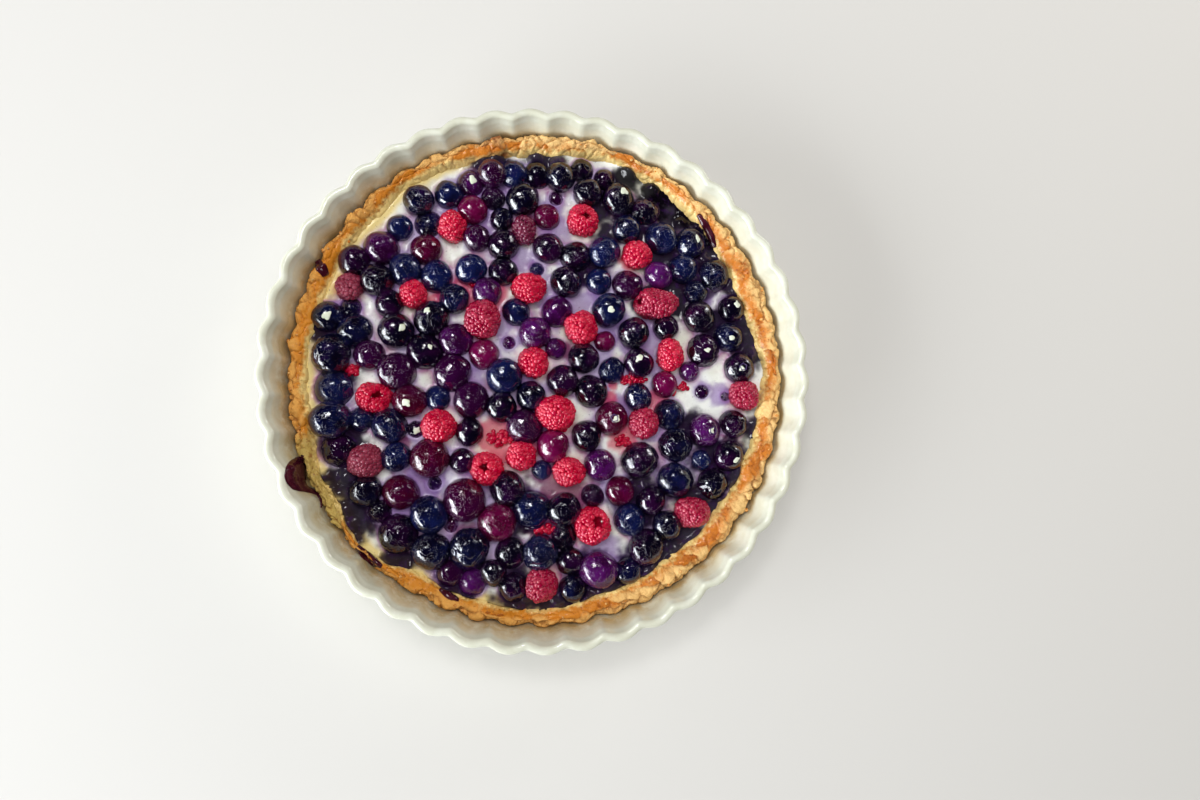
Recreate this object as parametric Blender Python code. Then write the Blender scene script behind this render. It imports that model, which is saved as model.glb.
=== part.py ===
"""A berry tart in its fluted ceramic dish.

A shortcrust case lines the dish and ends in a craggy rim a little below the lip. It holds set
custard, thick with whole blueberries, and raspberries sit in pockets of their own on top.
Metres, +Z up, the origin at the centre of the dish's foot.
"""

import itertools
import math
import random

import bmesh
import bpy
from mathutils import Matrix, Quaternion, Vector, noise

MM = 0.001
TURN = 2 * math.pi

# The dish: a 28 cm fluted tart dish with a flat foot and nearly upright walls.
RIM_RADIUS = 140 * MM
DISH_HEIGHT = 40 * MM
FOOT_RADIUS = 124 * MM
OUTER_FOOT_RADIUS = 130.5 * MM
WALL = 4.6 * MM
FLOOR_TOP = 6.0 * MM
FLUTES = 45
FLUTE_DEPTH = 3.2 * MM
FLUTE_PHASE = math.radians(5.5)
ROUND_STEPS = 4 * FLUTES

# The food inside it, by height above the foot.
GAP = 0.35 * MM
CASE_BASE_TOP = 10.5 * MM
CUSTARD_TOP = 21.0 * MM
CRUST_SHOULDER = 25.4 * MM
CRUST_TOP = 27.2 * MM
CRUST_INNER_RADIUS = 118.6 * MM
CRUST_CLEAR = 1.1 * MM
CRUST_CRUMB = 0.6 * MM
CRUST_CRAG = 1.4 * MM
CUSTARD_STEPS = 72

BERRY_SEED = 11
RASPBERRY_HEIGHT = 0.92
RASPBERRY_SINK = 0.30
BLUEBERRY_HEIGHT = 0.93
FACET_SWELL = 1.06
SMALL_BLUEBERRY = 6.2 * MM

# Where each berry lies, read from the photograph: pixels of its 1200 x 800 frame, seen from a
# point above the tart's near side. FRAME_FOCAL is the distance of the frame in the same pixels.
FRAME_FOCAL = 650
FRAME_CENTRE = (600, 400)
EYE = Vector((-19.2, -53.0, 364.6)) * MM
EYE_LEAN_X = math.radians(6.52)
EYE_LEAN_Y = math.radians(-7.94)
BERRY_LEVEL = 24 * MM

# Raspberries: across, down, width and height of each as seen. "hollow" ones lie core side up.
RASPBERRIES = (
    (452, 227, 29, 34, ""), (583, 221, 33, 36, "hollow"), (524, 230, 26, 33, ""),
    (636, 255, 34, 30, ""), (336, 280, 28, 29, ""), (413, 295, 28, 31, ""),
    (482, 320, 38, 42, ""), (529, 288, 38, 33, ""), (581, 328, 35, 36, ""),
    (655, 304, 49, 34, ""), (670, 355, 30, 37, ""),
    (533, 363, 33, 33, ""), (374, 397, 35, 31, "hollow"), (440, 426, 37, 34, ""),
    (557, 414, 42, 38, ""), (643, 423, 32, 34, ""), (487, 469, 34, 34, "hollow"),
    (522, 456, 31, 30, ""), (569, 471, 33, 31, ""), (365, 461, 35, 34, ""),
    (592, 526, 38, 41, "hollow"), (751, 397, 32, 33, ""), (692, 512, 40, 32, ""),
    (541, 589, 34, 35, ""),
)

# Blueberries: across, down and width of each as seen. A minus sign marks one nearly drowned in
# the custard.
BLUEBERRIES = (
    (415, 197, 29), (445, 183, 28), (472, 176, 27), (498, 178, 28), (511, 158, 28),
    (531, 172, 27), (559, 172, 29), (587, 184, 29), (616, 196, 33), (431, 219, 30),
    (398, 229, 25), (476, 207, 29), (489, 195, 24), (522, 198, 32), (502, 219, 23),
    (547, 216, 26), (556, 197, -18), (585, 163, 24), (605, 178, 22), (645, 212, 29),
    (627, 229, 28), (662, 238, 33), (694, 242, 32), (346, 254, 29), (378, 250, 33),
    (426, 248, 30), (478, 238, 26), (504, 243, 30), (550, 248, 30), (574, 257, 31),
    (604, 252, 31), (404, 269, 31), (436, 275, 31), (367, 281, 31), (471, 269, 30),
    (503, 271, 28), (537, 268, -18), (567, 280, 30), (599, 281, 26), (628, 285, 31),
    (660, 275, 28), (683, 266, 30), (715, 275, 33), (387, 298, 26), (345, 302, 21),
    (322, 309, 29), (454, 299, 28), (487, 292, 28), (518, 308, 27), (557, 311, 30),
    (609, 310, 33), (698, 291, 24), (735, 307, 28), (666, 327, 25), (699, 316, 32),
    (348, 331, 32), (396, 330, 33), (432, 319, 33), (454, 340, 32), (425, 351, 34),
    (369, 353, 28), (509, 342, -16), (485, 355, 29), (535, 333, 31), (556, 348, 21),
    (605, 341, 21), (634, 333, 31), (584, 358, 30), (729, 337, 30), (704, 350, 33),
    (329, 355, 35), (395, 371, 35), (452, 371, 35), (503, 375, 34), (563, 381, 31),
    (612, 370, 26), (639, 363, 29), (690, 371, 20), (740, 368, 31), (333, 390, 36),
    (409, 399, 31), (437, 398, 24), (471, 400, 34), (503, 408, 29), (531, 396, 29),
    (592, 391, 32), (638, 397, 27), (665, 384, 26), (703, 391, -18), (731, 396, -19),
    (361, 416, 23), (388, 425, 32), (415, 429, -20), (327, 423, 35), (469, 432, 26),
    (523, 428, 34), (553, 446, 31), (587, 436, 29), (612, 418, 32), (670, 414, 31),
    (705, 430, 31), (734, 424, 28), (338, 448, 33), (396, 457, 27), (430, 459, 36),
    (462, 461, 24), (434, 482, -17), (366, 489, 29), (398, 495, 32), (384, 511, 22),
    (464, 500, 39), (505, 487, 33), (542, 470, 19), (600, 465, 30), (640, 460, 35),
    (676, 445, 33), (701, 460, 20), (729, 456, 30), (620, 491, 28), (593, 496, 22),
    (651, 501, 28), (675, 480, 34), (713, 484, 31), (428, 518, 34), (448, 524, -20),
    (391, 536, 36), (431, 550, 34), (468, 551, 37), (497, 522, 36), (532, 507, 35),
    (561, 510, 32), (563, 539, 24), (507, 558, 29), (541, 554, 33), (571, 563, 26),
    (631, 521, 31), (667, 526, 29), (645, 547, 34), (451, 578, 24), (476, 581, 26),
    (493, 573, 24), (511, 591, 27), (575, 592, 28), (599, 570, 35), (629, 574, 27),
)


def clear_scene():
    for obj in list(bpy.data.objects):
        bpy.data.objects.remove(obj)


def new_collection(name):
    collection = bpy.data.collections.new(name)
    bpy.context.scene.collection.children.link(collection)
    return collection


def new_material(name, colour, roughness, coat=0.0):
    material = bpy.data.materials.new(name)
    material.use_nodes = True
    shader = material.node_tree.nodes["Principled BSDF"]
    shader.inputs["Base Color"].default_value = (*colour, 1.0)
    shader.inputs["Roughness"].default_value = roughness
    shader.inputs["Metallic"].default_value = 0.0
    shader.inputs["Coat Weight"].default_value = coat
    return material


def new_object(name, bm, collection, material=None):
    """Makes an object of the mesh, which it frees, with its faces pointing out."""
    bmesh.ops.recalc_face_normals(bm, faces=bm.faces)
    mesh = bpy.data.meshes.new(name)
    bm.to_mesh(mesh)
    bm.free()
    obj = bpy.data.objects.new(name, mesh)
    collection.objects.link(obj)
    if material:
        mesh.materials.append(material)
    mesh.shade_smooth()
    mesh.set_sharp_from_angle(angle=math.radians(40))
    return obj


def blend(low, high, share):
    """A value between two others; share is held between 0 and 1 and eased at both ends."""
    share = min(max(share, 0.0), 1.0)
    return low + (high - low) * share * share * (3 - 2 * share)


def wobble(angle, waves, seed):
    """A smooth random curve round the tart, from -1 to 1, with about this many waves in a turn."""
    reach = waves / TURN
    spot = Vector((math.cos(angle) * reach, math.sin(angle) * reach, seed))
    return noise.noise(spot) * 1.6


def flute(angle, height):
    """How far the fluted wall steps in at this angle: round lobes that meet in narrow creases."""
    lobe = abs(math.cos(FLUTES / 2 * (angle - FLUTE_PHASE)))
    depth = FLUTE_DEPTH * blend(0.35, 1.0, height / DISH_HEIGHT)
    return depth * (1 - math.sqrt(lobe * lobe * 0.95 + 0.05))


def inner_wall(height):
    """The dish's inner radius at the crest of a flute."""
    lip = RIM_RADIUS - WALL
    base = OUTER_FOOT_RADIUS - WALL
    return base + (lip - base) * (height - FLOOR_TOP) / (DISH_HEIGHT - FLOOR_TOP)


def spun(profile, steps):
    """A solid of revolution of (radius, height) points that start and end on the axis."""
    bm = bmesh.new()
    points = [bm.verts.new((radius, 0.0, height)) for radius, height in profile]
    edges = [bm.edges.new(pair) for pair in zip(points, points[1:])]
    bmesh.ops.spin(bm, geom=points + edges, cent=(0, 0, 0), axis=(0, 0, 1), angle=TURN,
                   steps=steps, use_merge=True)
    bmesh.ops.remove_doubles(bm, verts=bm.verts, dist=0.01 * MM)
    return bm


def push_in(vert, amount):
    """Moves a vertex towards the axis by this much."""
    radius = vert.co.xy.length
    vert.co.xy *= (radius - amount) / radius


def make_dish(collection, material):
    """The dish: a flat foot, fluted walls of even thickness and a rounded lip."""
    rounding = 1.4 * MM
    corner = 3.0 * MM
    profile = (
        (0.0, 0.0),
        (FOOT_RADIUS, 0.0),
        (OUTER_FOOT_RADIUS, 4.5 * MM),
        (RIM_RADIUS, DISH_HEIGHT - rounding),
        (RIM_RADIUS - WALL / 2, DISH_HEIGHT),
        (inner_wall(DISH_HEIGHT), DISH_HEIGHT - rounding),
        (inner_wall(FLOOR_TOP + corner), FLOOR_TOP + corner),
        (FOOT_RADIUS - corner, FLOOR_TOP),
        (0.0, FLOOR_TOP),
    )
    bm = spun(profile, ROUND_STEPS)
    for vert in bm.verts:
        if vert.co.xy.length > FOOT_RADIUS - 5 * MM and vert.co.z > 0.01 * MM:
            push_in(vert, flute(math.atan2(vert.co.y, vert.co.x), vert.co.z))
    return new_object("dish", bm, collection, material)


def case_inner(angle):
    """The radius of the pastry's inner side, which waves a little where it was pressed by hand."""
    return CRUST_INNER_RADIUS + 0.9 * MM * wobble(angle, 12, 3.0)


def make_crust(collection, material):
    """The pastry case: a base, a wall that fills the flutes and a rim of baked crags."""
    side = 12 * MM
    corner = FOOT_RADIUS - 6.0 * MM
    crest = inner_wall(CRUST_SHOULDER) - 4.2 * MM
    profile = (
        (0.0, FLOOR_TOP + GAP),
        (corner, FLOOR_TOP + GAP),
        (inner_wall(side) - CRUST_CLEAR, side),
        (inner_wall(CRUST_SHOULDER) - CRUST_CLEAR, CRUST_SHOULDER),
        (crest, CRUST_TOP + 0.8 * MM),
        (CRUST_INNER_RADIUS + 3.2 * MM, CRUST_TOP),
        (CRUST_INNER_RADIUS, CUSTARD_TOP + 1.2 * MM),
        (CRUST_INNER_RADIUS, CASE_BASE_TOP),
        (0.0, CASE_BASE_TOP),
    )
    bm = spun(profile, ROUND_STEPS)
    for vert in bm.verts:
        radius = vert.co.xy.length
        height = vert.co.z
        angle = math.atan2(vert.co.y, vert.co.x)
        if radius > crest + 1 * MM:
            push_in(vert, flute(angle, height) + CRUST_CRUMB * (1 + wobble(angle, 90, 7.0)))
            if height > side + 1 * MM:
                vert.co.z += CRUST_CRUMB * wobble(angle, 110, 5.0)
        elif height > CUSTARD_TOP + 2 * MM:
            ring = 40 * radius / MM
            rise = 0.6 * math.sin(angle) + wobble(angle, 80, ring)
            push_in(vert, CRUST_CRAG * wobble(angle, 90, ring + 9))
            vert.co.z += CRUST_CRAG * rise
        elif radius > corner + 0.1 * MM:
            push_in(vert, radius - case_inner(angle))
    return new_object("crust", bm, collection, material)


def seen_at(across, down, height):
    """The place at this height that the frame shows at this pixel."""
    ray = Vector((across - FRAME_CENTRE[0], FRAME_CENTRE[1] - down, -FRAME_FOCAL))
    turn = Matrix.Rotation(EYE_LEAN_X, 3, "X") @ Matrix.Rotation(EYE_LEAN_Y, 3, "Y")
    ray = turn @ ray
    return EYE + ray * ((height - EYE.z) / ray.z)


def size_of(pixels):
    """The real width of a berry that is this many pixels wide."""
    return abs(pixels) * (EYE.z - BERRY_LEVEL) / FRAME_FOCAL


def inside_case(spot, radius):
    """The same place, drawn in where a berry of this radius would meet the pastry."""
    reach = spot.xy.length
    limit = case_inner(math.atan2(spot.y, spot.x)) - radius - 1.0 * MM
    if reach > limit:
        spot.xy *= limit / reach
    return spot


def raspberry_places():
    """(centre, half sizes, hollow) of each raspberry, moved apart where two would touch."""
    berries = []
    for across, down, width, height, kind in RASPBERRIES:
        half = Vector((size_of(width), size_of(height), 0)) / 2
        half.z = RASPBERRY_HEIGHT * (half.x + half.y) / 2
        spot = seen_at(across, down, BERRY_LEVEL)
        spot.z = CUSTARD_TOP + half.z * (1 - 2 * RASPBERRY_SINK)
        inside_case(spot, max(half.x, half.y))
        berries.append((spot, half, kind == "hollow"))
    for (first, first_half, _), (second, second_half, _) in itertools.combinations(berries, 2):
        room = max(first_half) + max(second_half) + 2 * GAP
        apart = second.xy - first.xy
        if apart.length < room:
            step = apart.normalized() * (room - apart.length) / 2
            first.xy -= step
            second.xy += step
    return berries


def raspberry_mesh(spot, half, hollow, spin, grow=0.0):
    """A blunt cone of a berry; one that lies core side up has a dent in its top."""
    bm = bmesh.new()
    bmesh.ops.create_uvsphere(bm, u_segments=7, v_segments=5, radius=1.0)
    for vert in bm.verts:
        if hollow and vert.co.z > 0.99 and not grow:
            vert.co.z = 0.45
        vert.co.xy *= 1 - 0.10 * vert.co.z
    size = Vector((half.x + grow, half.y + grow, half.z + grow))
    bmesh.ops.transform(bm, matrix=Matrix.Rotation(spin, 4, "Z"), verts=bm.verts)
    bmesh.ops.transform(bm, matrix=Matrix.LocRotScale(spot, None, size), verts=bm.verts)
    return bm


def make_raspberries(collection, cutters, material):
    """The raspberries, and for each a cutter that leaves it room in the custard."""
    draw = random.Random(BERRY_SEED)
    for number, (spot, half, hollow) in enumerate(raspberry_places(), start=1):
        spin = draw.uniform(0, TURN)
        name = f"raspberry_{number:02d}"
        new_object(name, raspberry_mesh(spot, half, hollow, spin), collection, material)
        cutter = new_object(f"{name}_pocket", raspberry_mesh(spot, half, hollow, spin, GAP), cutters)
        cutter.hide_render = True
        cutter.display_type = "WIRE"


def blueberry_mesh(spot, radius, draw):
    """One blueberry, a little flattened and turned at random."""
    bm = bmesh.new()
    sides = 6 if radius > SMALL_BLUEBERRY else 5
    bmesh.ops.create_uvsphere(bm, u_segments=sides, v_segments=4, radius=radius * FACET_SWELL)
    turn = Quaternion((0, 0, 1), draw.uniform(0, TURN))
    matrix = Matrix.LocRotScale(spot, turn, Vector((1, 1, BLUEBERRY_HEIGHT)))
    bmesh.ops.transform(bm, matrix=matrix, verts=bm.verts)
    return bm


def make_blueberries(helpers):
    """The blueberries, each as far out of the custard as it shows."""
    draw = random.Random(BERRY_SEED + 1)
    for number, (across, down, width) in enumerate(BLUEBERRIES, start=1):
        radius = size_of(width) / 2
        spot = inside_case(seen_at(across, down, BERRY_LEVEL), radius)
        rise = -0.45 if width < 0 else 0.05 + 0.03 * (number * 7 % 10)
        spot.z = CUSTARD_TOP + rise * radius
        new_object(f"blueberry_{number:03d}", blueberry_mesh(spot, radius, draw), helpers)


def apply_modifiers(obj):
    """Swaps the object's mesh for what its modifiers make of it."""
    graph = bpy.context.evaluated_depsgraph_get()
    mesh = bpy.data.meshes.new_from_object(obj.evaluated_get(graph))
    obj.modifiers.clear()
    obj.data = mesh


def tidy_cut(obj):
    """Joins the flat faces that cutting splits, and drops the scraps that it leaves loose."""
    bm = bmesh.new()
    bm.from_mesh(obj.data)
    bmesh.ops.remove_doubles(bm, verts=bm.verts, dist=0.02 * MM)
    bmesh.ops.dissolve_limit(bm, verts=bm.verts, edges=bm.edges, angle_limit=math.radians(1.0))
    bmesh.ops.triangulate(bm, faces=bm.faces)
    left = set(bm.verts)
    pieces = []
    while left:
        piece = set()
        queue = [left.pop()]
        while queue:
            vert = queue.pop()
            piece.add(vert)
            for edge in vert.link_edges:
                other = edge.other_vert(vert)
                if other in left:
                    left.remove(other)
                    queue.append(other)
        pieces.append(piece)
    pieces.sort(key=len)
    for piece in pieces[:-1]:
        bmesh.ops.delete(bm, geom=list(piece), context="VERTS")
    bm.to_mesh(obj.data)
    bm.free()


def make_filling(collection, cutters, material):
    """The custard, with the blueberries set in it and a pocket under each raspberry."""
    bm = bmesh.new()
    bmesh.ops.create_cone(bm, cap_ends=True, segments=CUSTARD_STEPS, radius1=CRUST_INNER_RADIUS,
                          radius2=CRUST_INNER_RADIUS, depth=CUSTARD_TOP - CASE_BASE_TOP - GAP)
    middle = (CUSTARD_TOP + CASE_BASE_TOP + GAP) / 2
    for vert in bm.verts:
        vert.co.z += middle
        angle = math.atan2(vert.co.y, vert.co.x)
        push_in(vert, CRUST_INNER_RADIUS - case_inner(angle) + 2 * GAP)
    filling = new_object("filling", bm, collection, material)
    helpers = new_collection("blueberries to join")
    make_blueberries(helpers)
    join = filling.modifiers.new("blueberries", "BOOLEAN")
    join.operation = "UNION"
    join.solver = "MANIFOLD"
    join.operand_type = "COLLECTION"
    join.collection = helpers
    cut = filling.modifiers.new("raspberry pockets", "BOOLEAN")
    cut.operation = "DIFFERENCE"
    cut.solver = "MANIFOLD"
    cut.operand_type = "COLLECTION"
    cut.collection = cutters
    apply_modifiers(filling)
    for obj in list(helpers.objects):
        bpy.data.objects.remove(obj)
    bpy.data.collections.remove(helpers)
    tidy_cut(filling)
    return filling


def main():
    clear_scene()
    parts = new_collection("berry tart")
    cutters = new_collection("cutters")
    glaze = new_material("white glaze", (0.78, 0.76, 0.72), 0.12, coat=0.6)
    pastry = new_material("baked shortcrust", (0.62, 0.33, 0.11), 0.75)
    custard = new_material("custard and blueberries", (0.10, 0.06, 0.13), 0.35)
    raspberry = new_material("raspberry red", (0.55, 0.03, 0.06), 0.4)
    make_dish(parts, glaze)
    make_crust(parts, pastry)
    make_raspberries(parts, cutters, raspberry)
    make_filling(parts, cutters, custard)


main()
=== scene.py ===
"""The looks of a berry tart: custard, fruit and shortcrust in their own fluted dish.

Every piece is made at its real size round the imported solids. The file is laid out as an add-on:
one operator for each piece or group of like pieces, and one for the stage.
"""

import math
import random

import bmesh
import bpy
from bpy.props import FloatProperty, FloatVectorProperty, IntProperty, PointerProperty
from bpy.types import Operator, Panel, PropertyGroup
from mathutils import Matrix, Quaternion, Vector, noise
from mathutils.bvhtree import BVHTree
from mathutils.kdtree import KDTree


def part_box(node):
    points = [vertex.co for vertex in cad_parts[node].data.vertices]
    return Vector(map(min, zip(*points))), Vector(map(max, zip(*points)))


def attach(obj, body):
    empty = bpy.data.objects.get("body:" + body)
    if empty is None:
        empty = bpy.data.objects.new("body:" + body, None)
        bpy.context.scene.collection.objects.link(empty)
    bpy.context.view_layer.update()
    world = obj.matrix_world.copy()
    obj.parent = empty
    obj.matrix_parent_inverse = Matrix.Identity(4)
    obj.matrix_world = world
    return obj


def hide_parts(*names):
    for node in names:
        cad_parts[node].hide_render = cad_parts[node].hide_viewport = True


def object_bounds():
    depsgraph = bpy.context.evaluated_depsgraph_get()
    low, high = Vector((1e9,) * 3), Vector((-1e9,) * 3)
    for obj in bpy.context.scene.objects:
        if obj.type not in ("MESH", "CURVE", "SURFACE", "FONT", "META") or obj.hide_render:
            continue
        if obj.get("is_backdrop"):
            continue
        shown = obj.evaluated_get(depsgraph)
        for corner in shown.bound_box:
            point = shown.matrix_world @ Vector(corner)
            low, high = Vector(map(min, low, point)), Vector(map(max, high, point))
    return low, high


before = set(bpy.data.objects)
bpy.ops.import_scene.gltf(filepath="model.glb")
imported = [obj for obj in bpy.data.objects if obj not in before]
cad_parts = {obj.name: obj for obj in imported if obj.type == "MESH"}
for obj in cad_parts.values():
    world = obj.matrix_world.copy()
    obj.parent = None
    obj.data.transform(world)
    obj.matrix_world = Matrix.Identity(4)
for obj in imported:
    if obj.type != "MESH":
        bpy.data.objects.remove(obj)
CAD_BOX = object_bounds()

bl_info = {
    "name": "Berry Tart",
    "version": (1, 0, 0),
    "blender": (4, 5, 0),
    "location": "3D View > Sidebar > Berry Tart",
    "description": "Makes a baked berry tart in a fluted dish",
    "category": "Add Mesh",
}

MM = 0.001
TURN = 2 * math.pi
GOLDEN_TURN = TURN * (1 - 1 / 1.618034)

# Where Blender's noise vectors start, so that the crags are the same each time.
NOISE_SEED = 4

# The dish and the case, the same sizes as the solids.
RIM_RADIUS = 140 * MM
DISH_HEIGHT = 40 * MM
FOOT_RADIUS = 124 * MM
OUTER_FOOT_RADIUS = 130.5 * MM
WALL = 4.6 * MM
FLOOR_TOP = 6.0 * MM
FLUTES = 45
FLUTE_DEPTH = 3.2 * MM
FLUTE_PHASE = math.radians(5.5)
GAP = 0.35 * MM
CASE_BASE_TOP = 10.5 * MM
CUSTARD_TOP = 21.0 * MM
CRUST_SHOULDER = 25.4 * MM
CRUST_INNER_RADIUS = 118.6 * MM
CRUST_CLEAR = 1.1 * MM
CRUST_CUSP = 24 * MM
CRUST_BEND = 18 * MM
CRUST_FOOT = 12 * MM

# The photograph's view, in pixels of its 1200 x 800 frame.
FRAME_SIZE = (1200, 800)
FRAME_FOCAL = 650
FRAME_CENTRE = (FRAME_SIZE[0] / 2, FRAME_SIZE[1] / 2)
EYE = Vector((-19.2, -53.0, 364.6)) * MM
EYE_LEAN_X = math.radians(6.52)
EYE_LEAN_Y = math.radians(-7.94)

# The height at which the fruit's widths were read, and how tall a blueberry is for its width.
BERRY_LEVEL = 24 * MM
BLUEBERRY_HEIGHT = 0.93

# How close to a berry its juice soaks the custard, and how many berries count at one place.
JUICE_FADE = {"berry": 2.0 * MM, "red": 3.6 * MM}
NEIGHBOURS = 6

# The beads of a raspberry: faces round and down, width beside their spacing, and where the
# hollow of the core starts, as an angle from its axis.
BEAD_SIDES = 8
BEAD_RINGS = 5
BEAD_WIDTH = 1.42
HOLLOW_EDGE = 0.36

# Blueberries: across, down and width of each as seen, and its looks: n navy, v violet,
# m maroon, w wrinkled, s nearly drowned in the custard, c with custard on top, o with its crown up.
BLUEBERRIES = (
    (415, 197, 29, "n"), (445, 183, 28, "n"), (472, 176, 27, "vc"), (498, 178, 28, "v"),
    (511, 158, 28, "n"), (531, 172, 27, "n"), (559, 172, 29, "n"), (587, 184, 29, "n"),
    (616, 196, 33, "nc"), (431, 219, 30, "n"), (398, 229, 25, "n"), (476, 207, 29, "m"),
    (489, 195, 24, "n"), (522, 198, 32, "n"), (502, 219, 23, "n"), (547, 216, 26, "m"),
    (556, 197, 18, "vs"), (585, 163, 24, "n"), (605, 178, 22, "n"), (645, 212, 29, "w"),
    (627, 229, 28, "n"), (662, 238, 33, "n"), (694, 242, 32, "nc"), (346, 254, 29, "n"),
    (378, 250, 33, "v"), (426, 248, 30, "m"), (478, 238, 26, "v"), (504, 243, 30, "n"),
    (550, 248, 30, "n"), (574, 257, 31, "n"), (604, 252, 31, "n"), (404, 269, 31, "n"),
    (436, 275, 31, "n"), (367, 281, 31, "n"), (471, 269, 30, "n"), (503, 271, 28, "n"),
    (537, 268, 18, "ns"), (567, 280, 30, "n"), (599, 281, 26, "n"), (628, 285, 31, "v"),
    (660, 275, 28, "v"), (683, 266, 30, "n"), (715, 275, 33, "n"), (387, 298, 26, "n"),
    (345, 302, 21, "n"), (322, 309, 29, "nc"), (454, 299, 28, "n"), (487, 292, 28, "v"),
    (518, 308, 27, "n"), (557, 311, 30, "v"), (609, 310, 33, "nc"), (698, 291, 24, "n"),
    (735, 307, 28, "nc"), (666, 327, 25, "n"), (699, 316, 32, "n"), (348, 331, 32, "n"),
    (396, 330, 33, "nc"), (432, 319, 33, "nc"), (454, 340, 32, "v"), (425, 351, 34, "nc"),
    (369, 353, 28, "v"), (509, 342, 16, "vs"), (485, 355, 29, "m"), (535, 333, 31, "v"),
    (556, 348, 21, "v"), (605, 341, 21, "m"), (634, 333, 31, "n"), (584, 358, 30, "n"),
    (729, 337, 30, "nc"), (704, 350, 33, "wc"), (329, 355, 35, "w"), (395, 371, 35, "v"),
    (452, 371, 35, "v"), (503, 375, 34, "n"), (563, 381, 31, "n"), (612, 370, 26, "n"),
    (639, 363, 29, "nc"), (690, 371, 20, "v"), (740, 368, 31, "nco"), (333, 390, 36, "n"),
    (409, 399, 31, "mc"), (437, 398, 24, "n"), (471, 400, 34, "v"), (503, 408, 29, "n"),
    (531, 396, 29, "n"), (592, 391, 32, "n"), (638, 397, 27, "n"), (665, 384, 26, "m"),
    (703, 391, 18, "ns"), (731, 396, 19, "ns"), (361, 416, 23, "n"), (388, 425, 32, "n"),
    (415, 429, 20, "nsc"), (327, 423, 35, "n"), (469, 432, 26, "n"), (523, 428, 34, "v"),
    (553, 446, 31, "m"), (587, 436, 29, "n"), (612, 418, 32, "mco"), (670, 414, 31, "n"),
    (705, 430, 31, "vco"), (734, 424, 28, "n"), (338, 448, 33, "w"), (396, 457, 27, "n"),
    (430, 459, 36, "m"), (462, 461, 24, "n"), (434, 482, 17, "ns"), (366, 489, 29, "n"),
    (398, 495, 32, "m"), (384, 511, 22, "w"), (464, 500, 39, "m"), (505, 487, 33, "n"),
    (542, 470, 19, "n"), (600, 465, 30, "v"), (640, 460, 35, "n"), (676, 445, 33, "w"),
    (701, 460, 20, "n"), (729, 456, 30, "nc"), (620, 491, 28, "m"), (593, 496, 22, "n"),
    (651, 501, 28, "n"), (675, 480, 34, "n"), (713, 484, 31, "w"), (428, 518, 34, "n"),
    (448, 524, 20, "ms"), (391, 536, 36, "w"), (431, 550, 34, "n"), (468, 551, 37, "w"),
    (497, 522, 36, "m"), (532, 507, 35, "n"), (561, 510, 32, "n"), (563, 539, 24, "n"),
    (507, 558, 29, "n"), (541, 554, 33, "w"), (571, 563, 26, "n"), (631, 521, 31, "n"),
    (667, 526, 29, "n"), (645, 547, 34, "n"), (451, 578, 24, "v"), (476, 581, 26, "v"),
    (493, 573, 24, "n"), (511, 591, 27, "n"), (575, 592, 28, "n"), (599, 570, 35, "v"),
    (629, 574, 27, "n"),
)

# Raspberries in the order of their solids: colour, and which way the core side faces where it
# shows, as a tilt to the right and away; None where the tip is up.
RASPBERRIES = (
    ("red", None), ("red", (0.15, 0.1)), ("dark", None), ("red", None), ("dusty", None),
    ("red", None), ("crimson", None), ("red", None), ("red", None), ("crimson", (-0.75, 0.1)),
    ("red", None), ("red", None), ("red", (0.3, 0.1)), ("red", None), ("red", None),
    ("crimson", None), ("red", (-0.1, 0.15)), ("red", None), ("red", None), ("dusty", None),
    ("red", (0.2, 0.3)), ("crimson", None), ("crimson", None), ("crimson", None),
)

# The radius in millimetres where custard meets pastry, every 15 degrees round from the right.
PASTRY_EDGE = (119, 114.6, 116, 118.7, 122.4, 123.4, 120.4, 120.1, 122.6, 119.6, 119.8, 118.5,
               119, 118.6, 121.3, 124.7, 116.8, 118.7, 119.8, 116.3, 115.7, 115.4, 115.2, 115.6)

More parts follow.
